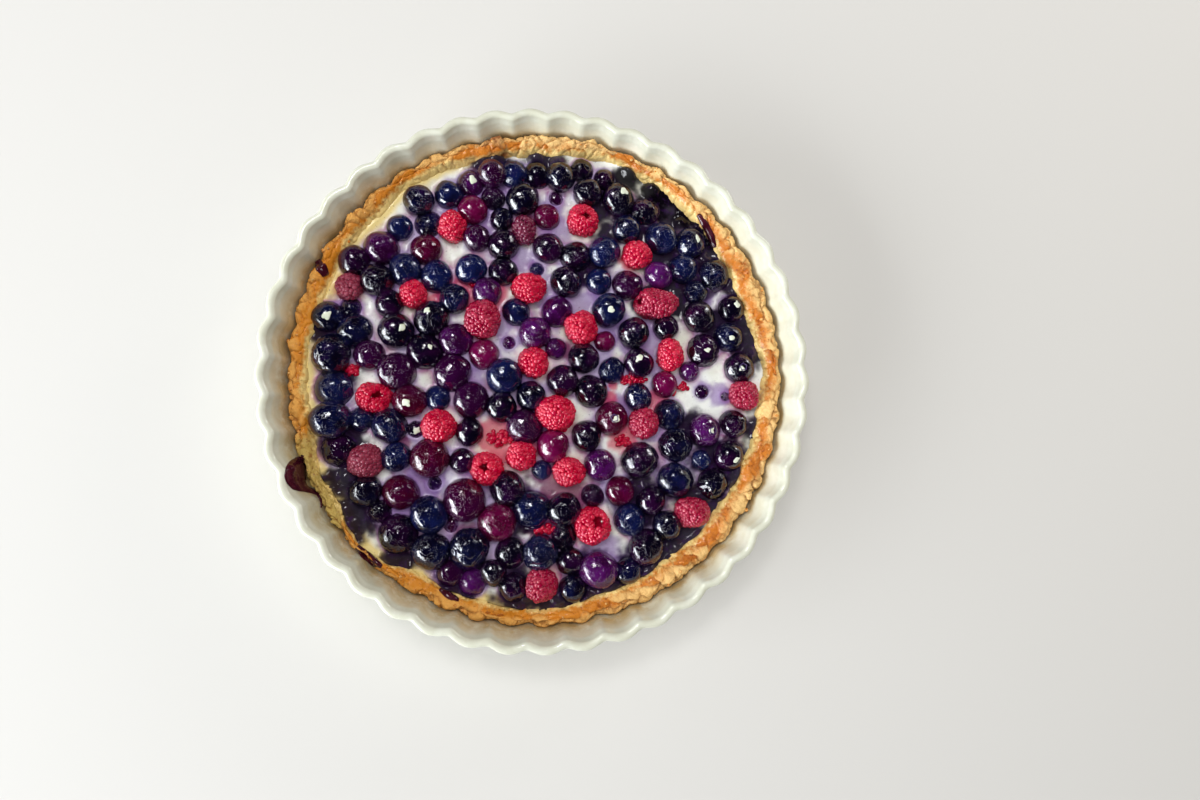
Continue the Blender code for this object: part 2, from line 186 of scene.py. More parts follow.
# Juice in the custard, by its colour: across, down and reach in pixels. The darkest kind, among
# crowded berries, is partly pooled juice and partly painted shade between the berries.
STAINS = {
    "lilac": ((610, 330, 26), (655, 360, 26), (500, 320, 26), (450, 300, 26), (380, 285, 26),
        (520, 380, 30), (470, 380, 24), (480, 470, 26), (540, 420, 24), (425, 480, 30),
        (620, 410, 24), (650, 430, 24), (555, 225, 30), (500, 190, 24), (720, 395, 20),
        (370, 400, 22), (345, 310, 24), (450, 560, 34), (560, 300, 44), (640, 340, 44),
        (470, 210, 50), (410, 500, 40), (420, 330, 14), (600, 550, 30), (700, 300, 26),
        (520, 260, 24), (590, 300, 22)),
    "magenta": ((560, 500, 50), (540, 530, 16), (452, 334, 16), (566, 352, 14), (545, 529, 30),
        (400, 440, 16), (530, 222, 12), (583, 200, 12), (560, 470, 14), (470, 540, 24)),
    "pink": ((618, 440, 14), (475, 285, 10), (492, 298, 26), (500, 437, 38), (521, 441, 28),
        (622, 437, 22), (462, 296, 26), (438, 301, 20), (658, 402, 18), (628, 262, 14),
        (608, 398, 12), (612, 385, 8), (505, 440, 22), (352, 370, 8), (635, 380, 12)),
    "night": ((705, 225, 42), (735, 285, 36), (748, 320, 34), (660, 250, 40), (625, 215, 30),
        (645, 300, 26), (745, 350, 34), (757, 430, 30), (735, 470, 40), (700, 500, 40),
        (690, 545, 36), (620, 600, 40), (560, 605, 36), (455, 592, 30), (398, 562, 26),
        (350, 480, 34), (326, 335, 24), (672, 300, 40), (610, 235, 26), (690, 265, 62),
        (650, 240, 40), (725, 330, 40), (600, 205, 34), (545, 165, 30), (490, 165, 34),
        (352, 520, 40), (345, 440, 34), (338, 380, 30), (655, 560, 50), (590, 580, 40),
        (520, 590, 40), (640, 500, 44), (715, 460, 44), (690, 430, 30), (520, 510, 40),
        (470, 575, 30), (590, 270, 34), (672, 212, 44), (700, 225, 30)),
    "syrup": ((655, 198, 36), (688, 214, 28), (628, 178, 26), (712, 240, 18)),
}

# Torn raspberry in the custard: across, down, width and depth in pixels.
FRAGMENTS = (
    (634, 380, 27, 13), (500, 438, 26, 15), (352, 370, 13, 11), (622, 441, 15, 12),
    (683, 387, 12, 8), (545, 529, 24, 8), (476, 283, 16, 7), (672, 392, 9, 7),
)

# Juice and jam that ran over the pastry: (across, down, width) in pixels along each run.
SPILLS = (
    ((303, 455, 3), (300, 461, 9), (294, 467, 17), (292, 476, 20), (295, 484, 16), (303, 488, 9),
     (311, 491, 5), (318, 494, 4), (321, 501, 2.6), (321, 508, 1.2)),
    ((297, 457, 5), (299, 466, 13), (299, 475, 15), (300, 483, 12), (306, 489, 5)),
    ((357, 546, 6), (364, 554, 10), (374, 562, 10), (382, 567, 4)),
    ((317, 260, 6), (321, 267, 13), (326, 276, 8)),
    ((698, 214, 4), (705, 224, 8), (711, 236, 8), (715, 248, 4)),
    ((440, 588, 5), (449, 596, 8), (459, 600, 4)),
)

# How many crumbs may lie about, most of them between the crust and the wall of the dish.
CRUMBS = 90

# Where the crust is soaked and pale beside the drip, and where it is most browned, each as an
# angle round from the right.
PALE_CRUMB = math.radians(207)
BROWNED_SIDE = math.radians(112)

# The lights: width and height, place, colour, and whether wet skin mirrors them.
LIGHTS = {
    "window": ((1.7, 0.7), (-1.36, -0.63, 0.42), (0.93, 0.97, 1.0), True),
    "far_window": ((0.3, 0.3), (0.95, 0.8, 0.42), (1.0, 1.0, 1.0), True),
    "skylight": ((0.3, 0.22), (-0.36, 0.5, 1.1), (1.0, 1.0, 1.0), True),
    "overhead": ((1.6, 1.6), (0.2, 0.3, 1.7), (1.0, 1.0, 1.0), False),
    "warmth": ((1.2, 0.8), (1.5, 0.3, 0.35), (1.0, 0.72, 0.36), False),
}


def colour(red, green, blue):
    """The linear colour of a screen colour given from 0 to 255."""
    def linear(level):
        share = level / 255
        return share / 12.92 if share <= 0.04045 else ((share + 0.055) / 1.055) ** 2.4
    return (linear(red), linear(green), linear(blue), 1.0)


def toned(skin, gain, lift=0.0):
    """The same colour, darker or lighter."""
    return tuple(min(level * gain + lift, 1) for level in skin[:3]) + (1.0,)


def colour_property(name, description, value):
    return FloatVectorProperty(name=name, description=description, default=value, size=4,
                               min=0, max=1, subtype="COLOR")


def length_property(name, description, value):
    return FloatProperty(name=name, description=description, default=value, unit="LENGTH",
                         precision=5)


def power_property(name, description, value):
    return FloatProperty(name=name, description=description, default=value, min=0, unit="POWER")


class DishLook(PropertyGroup):
    """What a user may change of the dish."""
    rounding: length_property("Lip rounding", "How round the edge of the lip is", 2.0 * MM)
    unevenness: length_property("Unevenness", "How far hand work moves the flutes", 0.25 * MM)
    glaze: colour_property("Glaze", "The white glaze", colour(212, 212, 194))
    sheer: colour_property("Sheer glaze", "Where the glaze is thicker", colour(222, 223, 209))
    clay: colour_property("Clay", "The bare clay of the foot", colour(196, 184, 162))
    # Fat baked onto the wall, which on the shaded lower left also stands in for a painted warm
    # reflection.
    butter: colour_property("Butter stain", "Fat baked onto the wall", colour(180, 150, 84))


class CrustLook(PropertyGroup):
    """What a user may change of the shortcrust."""
    flake: length_property("Flake size", "The width of one crag of the rim", 7.5 * MM)
    flake_height: length_property("Flake height", "How far a crag stands up", 2.0 * MM)
    crack: length_property("Crack depth", "How deep the cracks between crags are", 1.3 * MM)
    cream: colour_property("Cream", "Dry crumb on the outside", colour(232, 192, 130))
    golden: colour_property("Golden", "Baked and glazed crust", colour(204, 126, 44))
    yellow: colour_property("Yellow", "Soft crumb by the custard", colour(246, 216, 146))
    # Yellower towards the left side of the crust.
    yellow_left: colour_property("Sunny", "Less baked crust on the left", colour(222, 150, 44))
    pale: colour_property("Pale", "Custard-soaked crumb beside the drip", colour(186, 166, 98))
    browned: colour_property("Browned", "The darkest ridges", colour(126, 56, 16))
    toasted: colour_property("Toasted", "Patches a shade deeper", colour(160, 84, 28))
    # Painted shade: the darker brown laid into the cracks of the crust.
    crack_shade: colour_property("Crevice", "Down in the cracks", colour(132, 68, 24))


class CustardLook(PropertyGroup):
    """What a user may change of the custard."""
    meniscus: length_property("Meniscus", "How far it climbs a berry", 0.9 * MM)
    puff: length_property("Puff", "How far it has risen by the crust", 2.6 * MM)
    milk: colour_property("Milk", "Clean custard", colour(244, 246, 240))
    cream: colour_property("Cream", "Clouds in clean custard", colour(226, 226, 210))
    yellow: colour_property("Yellow", "Baked custard by the crust", colour(238, 216, 150))
    rosy: colour_property("Rosy", "The redder juice round berries", colour(172, 84, 148))
    # Painted highlight: a lighter ring on the custard where it climbs a berry.
    collar_highlight: colour_property("Collar", "Where it climbs a berry", colour(206, 190, 220))
    lilac: colour_property("Lilac", "Blueberry juice in custard", colour(142, 108, 172))
    magenta: colour_property("Magenta", "Strong juice in custard", colour(120, 16, 84))
    pink: colour_property("Pink", "Raspberry juice in custard", colour(206, 30, 80))
    # Partly pooled juice and partly painted shade: custard darkened among crowded berries.
    night: colour_property("Night", "Blueberry juice pooled in a crowd", colour(28, 8, 42))
    mottled: colour_property("Mottled", "Lighter in pooled juice", colour(78, 40, 104))
    syrup: colour_property("Syrup", "Dark syrup lying on top", colour(16, 8, 20))
    speck: colour_property("Specks", "Bits of skin in the custard", colour(90, 60, 90))
    dried: colour_property("Dried custard", "In the spots on fruit", colour(196, 206, 168))
    spill: colour_property("Spill", "Juice baked onto pastry and dish", colour(70, 18, 36))


class FruitLook(PropertyGroup):
    """What a user may change of the fruit."""
    plumpness: FloatProperty(name="Plumpness", default=1.07, min=0.9, max=1.1,
                             description="How large a blueberry is beside its seen width")
    closeness: FloatProperty(name="Closeness", default=0.92, min=0.8, max=1.0,
                             description="How near two berries may lie beside their own widths")
    drupelet: length_property("Bead spacing", "Between the beads of a raspberry", 2.15 * MM)
    wrinkle: length_property("Wrinkle depth", "On the shrunken blueberries", 0.5 * MM)
    navy: colour_property("Navy", "Most blueberries", colour(16, 10, 30))
    violet: colour_property("Violet", "Redder blueberries", colour(52, 8, 52))
    maroon: colour_property("Maroon", "Blueberries burst by heat", colour(72, 6, 40))
    # Lighter patches on each skin: partly waxy bloom, partly a painted sheen in place of the sky's
    # reflection.
    navy_bloom_and_sheen: colour_property("Navy glow", "Lighter navy skin", colour(28, 36, 84))
    violet_bloom_and_sheen: colour_property("Violet glow", "Lighter violet skin", colour(94, 28, 106))
    maroon_bloom_and_sheen: colour_property("Maroon glow", "Lighter maroon skin", colour(118, 18, 78))
    shrunk_bloom_and_sheen: colour_property("Shrunken glow", "Lighter shrunken skin", colour(32, 38, 80))
    flushed: colour_property("Flushed", "Redder parts of any skin", colour(62, 14, 66))
    # Painted light: a lighter violet low on each berry by the custard, as if light shone through
    # the skin.
    lit_through_skin: colour_property("Juicy", "Low on a berry, by the custard", colour(84, 26, 104))
    film: colour_property("Film", "Custard clinging to a berry", colour(170, 146, 188))
    crown: colour_property("Crown", "The crown of a blueberry", colour(70, 50, 96))
    red: colour_property("Raspberry red", "Ripe raspberries", colour(188, 4, 58))
    crimson: colour_property("Raspberry crimson", "Darker raspberries", colour(156, 6, 58))
    dark: colour_property("Raspberry dark", "Raspberries soaked in juice", colour(104, 6, 54))
    dusty: colour_property("Raspberry dusty", "Dull raspberries", colour(134, 38, 66))
    sides: IntProperty(name="Blueberry sides", description="Faces round a blueberry", default=32,
                       min=12, max=64)


class StudioLook(PropertyGroup):
    """What a user may change of the light and the floor."""
    window: power_property("Window", "The large window on the left", 32.0)
    far_window: power_property("Far window", "The small second window", 1.6)
    skylight: power_property("Skylight", "The small light high up", 2.5)
    overhead: power_property("Overhead", "The soft light above", 14.0)
    warmth: power_property("Warm fill", "The warm light from the right", 2.5)
    sky: FloatProperty(name="Sky", description="Strength of the light all round", default=0.24,
                       min=0)
    floor: colour_property("Floor", "The plain floor", colour(214, 212, 208))


class TartLook(PropertyGroup):
    """All the looks of the tart."""
    dish: PointerProperty(type=DishLook)
    crust: PointerProperty(type=CrustLook)
    custard: PointerProperty(type=CustardLook)
    fruit: PointerProperty(type=FruitLook)
    studio: PointerProperty(type=StudioLook)


class Wire:
    """A socket of a material; sums and products of wires add Math nodes."""

    def __init__(self, finish, socket):
        self.finish = finish
        self.socket = socket

    def maths(self, operation, first, second):
        return self.finish.add("ShaderNodeMath", {"operation": operation}, {0: first, 1: second})

    def __add__(self, other):
        return self.maths("ADD", self, other)

    __radd__ = __add__

    def __sub__(self, other):
        return self.maths("SUBTRACT", self, other)

    def __rsub__(self, other):
        return self.maths("SUBTRACT", other, self)

    def __mul__(self, other):
        return self.maths("MULTIPLY", self, other)

    __rmul__ = __mul__

    def most(self, other):
        return self.maths("MAXIMUM", self, other)


class Finish:
    """One material: a Principled shader and the nodes that feed it."""

    def __init__(self, name, **constants):
        self.material = bpy.data.materials.new(name)
        self.material.use_nodes = True
        self.tree = self.material.node_tree
        self.shader = self.tree.nodes["Principled BSDF"]
        for socket, value in constants.items():
            self.shader.inputs[socket.replace("_", " ")].default_value = value

    def add(self, kind, settings=None, values=None, out=0):
        """Adds a node of this type, sets it up, feeds it and gives one of its outputs."""
        node = self.tree.nodes.new(kind)
        for setting, value in (settings or {}).items():
            setattr(node, setting, value)
        for socket, value in (values or {}).items():
            self.feed(node.inputs[socket], value)
        return Wire(self, node.outputs[out])

    def feed(self, socket, value):
        if isinstance(value, Wire):
            self.tree.links.new(value.socket, socket)
        else:
            socket.default_value = value

    def surface(self, **wires):
        for socket, value in wires.items():
            self.feed(self.shader.inputs[socket.replace("_", " ")], value)

    def place(self):
        return self.add("ShaderNodeTexCoord", out="Object")

    def marked(self, name):
        """A number that the mesh holds at each vertex."""
        return self.add("ShaderNodeAttribute", {"attribute_name": name}, out="Fac")

    def noise(self, scale, detail, roughness=0.5, distortion=0.0):
        values = {"Vector": self.place(), "Scale": scale, "Detail": detail,
                  "Roughness": roughness, "Distortion": distortion}
        return self.add("ShaderNodeTexNoise", {}, values)

    def cells(self, scale):
        return self.add("ShaderNodeTexVoronoi", {}, {"Vector": self.place(), "Scale": scale})

    def between(self, value, low, high):
        """Eases from 0 where the value is low to 1 where it is high."""
        return self.add("ShaderNodeMapRange", {"interpolation_type": "SMOOTHSTEP"},
                        {"Value": value, "From Min": low, "From Max": high})

    def mix(self, share, low, high):
        """A colour between two others."""
        return self.add("ShaderNodeMix", {"data_type": "RGBA"}, {0: share, 6: low, 7: high}, 2)

    def bump(self, height, distance, strength):
        return self.add("ShaderNodeBump", {},
                        {"Height": height, "Distance": distance, "Strength": strength})


def blend(low, high, share):
    """A value between two others; share is held between 0 and 1 and eased at both ends."""
    share = min(max(share, 0.0), 1.0)
    return low + (high - low) * share * share * (3 - 2 * share)


def angle_of(spot):
    """Where a spot lies round the tart, as an angle from the right."""
    return math.atan2(spot.y, spot.x)


def off_by(angle, middle):
    """How far an angle is from another, the short way round."""
    return abs(math.remainder(angle - middle, TURN))


def wobble(angle, waves, seed):
    """A smooth random curve round the tart, from -1 to 1, with about this many waves in a turn."""
    reach = waves / TURN
    spot = Vector((math.cos(angle) * reach, math.sin(angle) * reach, seed))
    return noise.noise(spot) * 1.6


def flute(angle, height):
    """How far the fluted wall steps in at this angle: round lobes that meet in narrow creases."""
    lobe = abs(math.cos(FLUTES / 2 * (angle - FLUTE_PHASE)))
    depth = FLUTE_DEPTH * blend(0.35, 1.0, height / DISH_HEIGHT)
    return depth * (1 - math.sqrt(lobe * lobe * 0.95 + 0.05))


def inner_wall(height):
    """The dish's inner radius at the crest of a flute."""
    lip = RIM_RADIUS - WALL
    base = OUTER_FOOT_RADIUS - WALL
    return base + (lip - base) * (height - FLOOR_TOP) / (DISH_HEIGHT - FLOOR_TOP)


def case_inner(angle):
    """The radius of the pastry's inner side, which waves a little where it was pressed by hand."""
    return CRUST_INNER_RADIUS + 0.9 * MM * wobble(angle, 12, 3.0)


def crust_edge(angle):
    """The radius where custard meets the pastry, which is more ragged than the side below it."""
    place = (angle % TURN) / TURN * len(PASTRY_EDGE)
    index = int(place)
    low = PASTRY_EDGE[index % len(PASTRY_EDGE)]
    high = PASTRY_EDGE[(index + 1) % len(PASTRY_EDGE)]
    return (blend(low, high, place - index) + 1.4 * wobble(angle, 44, 8.0)) * MM


def eye_turn():
    return Matrix.Rotation(EYE_LEAN_X, 3, "X") @ Matrix.Rotation(EYE_LEAN_Y, 3, "Y")


def sight_line(across, down):
    """The direction in which the eye sees this pixel."""
    return eye_turn() @ Vector((across - FRAME_CENTRE[0], FRAME_CENTRE[1] - down, -FRAME_FOCAL))


def seen_at(across, down, height):
    """The place at this height that the frame shows at this pixel."""
    ray = sight_line(across, down)
    return EYE + ray * ((height - EYE.z) / ray.z)


def struck(start, direction, surfaces):
    """Where a ray first meets one of the surfaces, and which way that faces; None past them all."""
    hits = [surface.ray_cast(start, direction) for surface in surfaces]
    hits = [hit for hit in hits if hit[0]]
    if not hits:
        return None
    return min(hits, key=lambda hit: hit[3])[:2]


def size_of(pixels):
    """The real width of a berry that is this many pixels wide."""
    return pixels * (EYE.z - BERRY_LEVEL) / FRAME_FOCAL


def inside_case(spot, radius):
    """The same place, drawn in where a berry of this radius would meet the pastry."""
    reach = spot.xy.length
    limit = case_inner(angle_of(spot)) - radius - 1.0 * MM
    if reach > limit:
        spot.xy *= limit / reach
    return spot


def arc(centre, radius, start, end, steps):
    """Points of (across, up) along part of a circle, with its angles in degrees."""
    points = []
    for step in range(steps + 1):
        angle = math.radians(start + (end - start) * step / steps)
        points.append((centre[0] + radius * math.cos(angle), centre[1] + radius * math.sin(angle)))
    return points


def line(start, end, steps):
    """Points from start up to end, without the end."""
    return [tuple(s + (e - s) * step / steps for s, e in zip(start, end)) for step in range(steps)]


def spun(profile, steps):
    """A closed shape of revolution of (radius, height) points that start and end on the axis.

    An eighth of a turn is spun, and then doubled three times over.
    """
    bm = bmesh.new()
    points = [bm.verts.new((radius, 0.0, height)) for radius, height in profile]
    edges = [bm.edges.new(pair) for pair in zip(points, points[1:])]
    bmesh.ops.spin(bm, geom=points + edges, cent=(0, 0, 0), axis=(0, 0, 1), angle=TURN / 8,
                   steps=steps // 8)
    for share in (8, 4, 2):
        copied = bmesh.ops.duplicate(bm, geom=bm.verts[:] + bm.edges[:] + bm.faces[:])["geom"]
        verts = [item for item in copied if isinstance(item, bmesh.types.BMVert)]
        bmesh.ops.rotate(bm, cent=(0, 0, 0), matrix=Matrix.Rotation(TURN / share, 3, "Z"),
                         verts=verts)
    bmesh.ops.remove_doubles(bm, verts=bm.verts, dist=0.01 * MM)
    bmesh.ops.recalc_face_normals(bm, faces=bm.faces)
    return bm


def push_in(vert, amount):
    """Moves a vertex towards the axis by this much."""
    radius = vert.co.xy.length
    vert.co.xy *= (radius - amount) / radius


def number_layers(bm, *names):
    """A layer of numbers for each name, one number a vertex, for the materials to read."""
    return {name: bm.verts.layers.float.new(name) for name in names}


def mesh_of(name, bm):
    """Turns a bmesh into a mesh, and frees it."""
    mesh = bpy.data.meshes.new(name)
    bm.to_mesh(mesh)
    bm.free()
    return mesh


def ball_mesh(sides, rings):
    """A closed ball of radius 1 that shapes are copied from."""
    bm = bmesh.new()
    bmesh.ops.create_uvsphere(bm, u_segments=sides, v_segments=rings, radius=1.0)
    return mesh_of("ball", bm)


def add_copy(bm, mesh):
    """Adds a copy of the mesh and gives its vertices."""
    start = len(bm.verts)
    bm.from_mesh(mesh)
    bm.verts.ensure_lookup_table()
    return bm.verts[start:]


def placed(mesh, finish):
    """An object of this mesh in the scene, with this finish."""
    mesh.materials.append(finish.material)
    item = bpy.data.objects.new(mesh.name, mesh)
    bpy.context.scene.collection.objects.link(item)
    return item


def finished(name, bm, finish, nodes=()):
    """Makes the piece's object of the mesh, smooth, riding on the tart's body."""
    mesh = mesh_of(name, bm)
    if not mesh.polygons:
        raise RuntimeError(f"{name} has no faces")
    mesh.shade_smooth()
    piece = placed(mesh, finish)
    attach(piece, "root")
    if nodes:
        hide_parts(*nodes)
    return piece


def sized(direction, size):
    """The vector stretched by this much along each axis."""
    return Vector(step * length for step, length in zip(direction, size))


def surface_of(name):
    """A tree to look up the nearest or struck point of a finished piece."""
    mesh = bpy.data.objects[name].data
    return BVHTree.FromPolygons([vert.co for vert in mesh.vertices],
                                [face.vertices for face in mesh.polygons])


def raspberry_boxes():
    """(centre, half sizes) of each raspberry, from its solid."""
    boxes = []
    for number in range(1, len(RASPBERRIES) + 1):
        low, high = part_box(f"raspberry_{number:02d}")
        boxes.append(((low + high) / 2, (high - low) / 2))
    return boxes


def blueberry_places():
    """(looks, centre, radius) of each blueberry, eased apart where two would cross."""
    look = bpy.context.scene.berry_tart.fruit
    berries = []
    for number, (across, down, width, looks) in enumerate(BLUEBERRIES, start=1):
        radius = size_of(width) / 2 * look.plumpness
        spot = inside_case(seen_at(across, down, BERRY_LEVEL), radius)
        rise = -0.45 if "s" in looks else 0.05 + 0.03 * (number * 7 % 10)
        spot.z = CUSTARD_TOP + rise * radius
        berries.append((looks, spot, radius))
    firm = [(centre, min(half)) for centre, half in raspberry_boxes()]
    for _ in range(8):
        for index, (_, spot, radius) in enumerate(berries):
            for _, other, other_radius in berries[index + 1:]:
                part_from(spot, other, (radius + other_radius) * look.closeness, 0.5)
            for other, other_radius in firm:
                part_from(spot, other, (radius + other_radius) * look.closeness, 0.0)
    return berries


def part_from(spot, other, room, share):
    """Moves two centres apart until they have this much room, the second by this share of it."""
    apart = spot - other
    short = room - apart.length
    if short > 0:
        step = apart.normalized() * short * 0.4
        spot += step * (1 - share)
        other -= step * share


def glaze_finish(look):
    finish = Finish("white glaze", Coat_Weight=0.5, Coat_Roughness=0.05)
    speckle = finish.noise(140, 4, 0.6)
    foot = finish.marked("foot")
    butter = finish.marked("butter") * finish.between(finish.noise(90, 4, 0.65), 0.28, 0.6)
    white = finish.mix(finish.between(speckle, 0.35, 0.75), look.glaze, look.sheer)
    # Real fat stain, also a painted warm reflection on the lower left wall.
    stained = finish.mix(butter * 0.75, white, look.butter)
    finish.surface(Base_Color=finish.mix(foot, stained, look.clay),
                   Roughness=0.12 + foot * 0.6 + butter * 0.2,
                   Normal=finish.bump(finish.noise(60, 2), 0.25 * MM, 0.2))
    return finish


class BERRYTART_OT_dish(Operator):
    """The glazed dish with its fluted wall"""
    bl_idname = "berry_tart.dish"
    bl_label = "Dish"

    def execute(self, context):
        look = context.scene.berry_tart.dish
        steps_a_flute = 14
        corner = 3.0 * MM
        slope_end = 4.5 * MM
        lip = look.rounding
        lip_start = DISH_HEIGHT - lip - 1.5 * MM
        half = WALL / 2
        lip_middle = (RIM_RADIUS - half, DISH_HEIGHT - lip)
        profile = [(0.0, 0.0), (FOOT_RADIUS - 12 * MM, 0.0)]
        profile += arc((FOOT_RADIUS - 1.2 * MM, 1.2 * MM), 1.2 * MM, -90, -40, 4)
        profile += line((OUTER_FOOT_RADIUS, slope_end), (RIM_RADIUS, DISH_HEIGHT - lip), 12)
        for across, up in arc((0, 0), 1.0, 0, 180, 10):
            profile.append((lip_middle[0] + across * half, lip_middle[1] + up * lip))
        profile += line((inner_wall(lip_start), lip_start),
                        (inner_wall(FLOOR_TOP + corner), FLOOR_TOP + corner), 18)
        profile += [(inner_wall(FLOOR_TOP + corner), FLOOR_TOP + corner),
                    (FOOT_RADIUS - corner, FLOOR_TOP), (0.0, FLOOR_TOP)]
        bm = spun(profile, FLUTES * steps_a_flute)
        layers = number_layers(bm, "foot", "butter")
        for vert in bm.verts:
            radius = vert.co.xy.length
            height = vert.co.z
            angle = angle_of(vert.co)
            if radius < FOOT_RADIUS - 5 * MM:
                vert[layers["foot"]] = 1.0 if height < 1 * MM else 0.0
                continue
            share = blend(0, 1, height / slope_end)
            uneven = look.unevenness * wobble(angle, 30, height * 20)
            push_in(vert, (flute(angle, height) + uneven) * share)
            vert[layers["foot"]] = 1 - blend(0, 1, (height - 0.4 * MM) / (0.8 * MM))
            if radius < inner_wall(height) + 1.2 * MM and height < DISH_HEIGHT - 3 * MM:
                vert[layers["butter"]] = self.butter_and_warm_tint(angle, height)
        finished("dish_glazed", bm, glaze_finish(look), ["dish"])
        return {"FINISHED"}

    @staticmethod
    def butter_and_warm_tint(angle, height):
        """How much fat has baked onto the wall here; it climbs highest at the lower left, where the
        same stain also paints in a warm reflection on the shaded wall.
        """
        reach = (7.5 + 4.0 * wobble(angle, 24, 2.0) - 6.0 * math.cos(angle - 0.6)) * MM
        return 1 - blend(0, 1, (height - CRUST_SHOULDER) / max(reach, 1.5 * MM))


def pastry_finish(look):
    finish = Finish("baked shortcrust")
    across = finish.marked("across")
    crack = finish.marked("crack")
    lump = finish.marked("lump")
    brown = finish.marked("brown")
    fine = finish.noise(420, 6, 0.65)
    patch = finish.noise(85, 4, 0.6)
    crumb = finish.cells(900)
    uneven = (patch - 0.5) * 0.8 + (fine - 0.5) * 0.6
    dry = finish.between(lump * 0.8 - across * 1.1 + uneven, -0.3, 0.2)
    base = finish.mix(dry, look.golden, look.cream)
    deeper = finish.between(patch * 0.7 + fine * 0.6 - dry * 0.25, 0.55, 0.85)
    base = finish.mix(deeper * 0.75, base, look.toasted)
    # Yellower towards the left side.
    base = finish.mix(finish.marked("left") * 0.6, base, look.yellow_left)
    pale = finish.between(finish.marked("pale") + (patch - 0.5) + (fine - 0.5) * 0.5, 0.3, 0.8)
    base = finish.mix(pale * 0.85, base, look.pale)
    soft = finish.between(across + (fine - 0.5) * 0.5 + (patch - 0.5) * 0.5, 0.66, 0.9)
    base = finish.mix(soft, base, look.yellow)
    baked = finish.between(brown + (patch - 0.5) * 0.9 + (fine - 0.5) * 0.5, 0.5, 1.0)
    base = finish.mix(baked * 0.9, base, look.browned)
    specked = finish.between(finish.noise(650, 3, 0.6) + patch * 0.3, 0.72, 0.82)
    specked = specked * (1 - dry) * (1 - soft)
    base = finish.mix(specked * 0.6, base, look.browned)
    # Painted shade: the cracks are darkened towards the crack shade colour.
    shaded = finish.mix(finish.between(crack, 0.3, 1.0) * 0.5, base, look.crack_shade)
    grain = (crumb * -0.35 + fine * 0.8) * (0.4 + dry * 0.9)
    finish.surface(Base_Color=shaded, Roughness=0.42 + dry * 0.35,
                   Coat_Weight=(1 - dry) * 0.35, Normal=finish.bump(grain, 0.8 * MM, 0.8))
    return finish


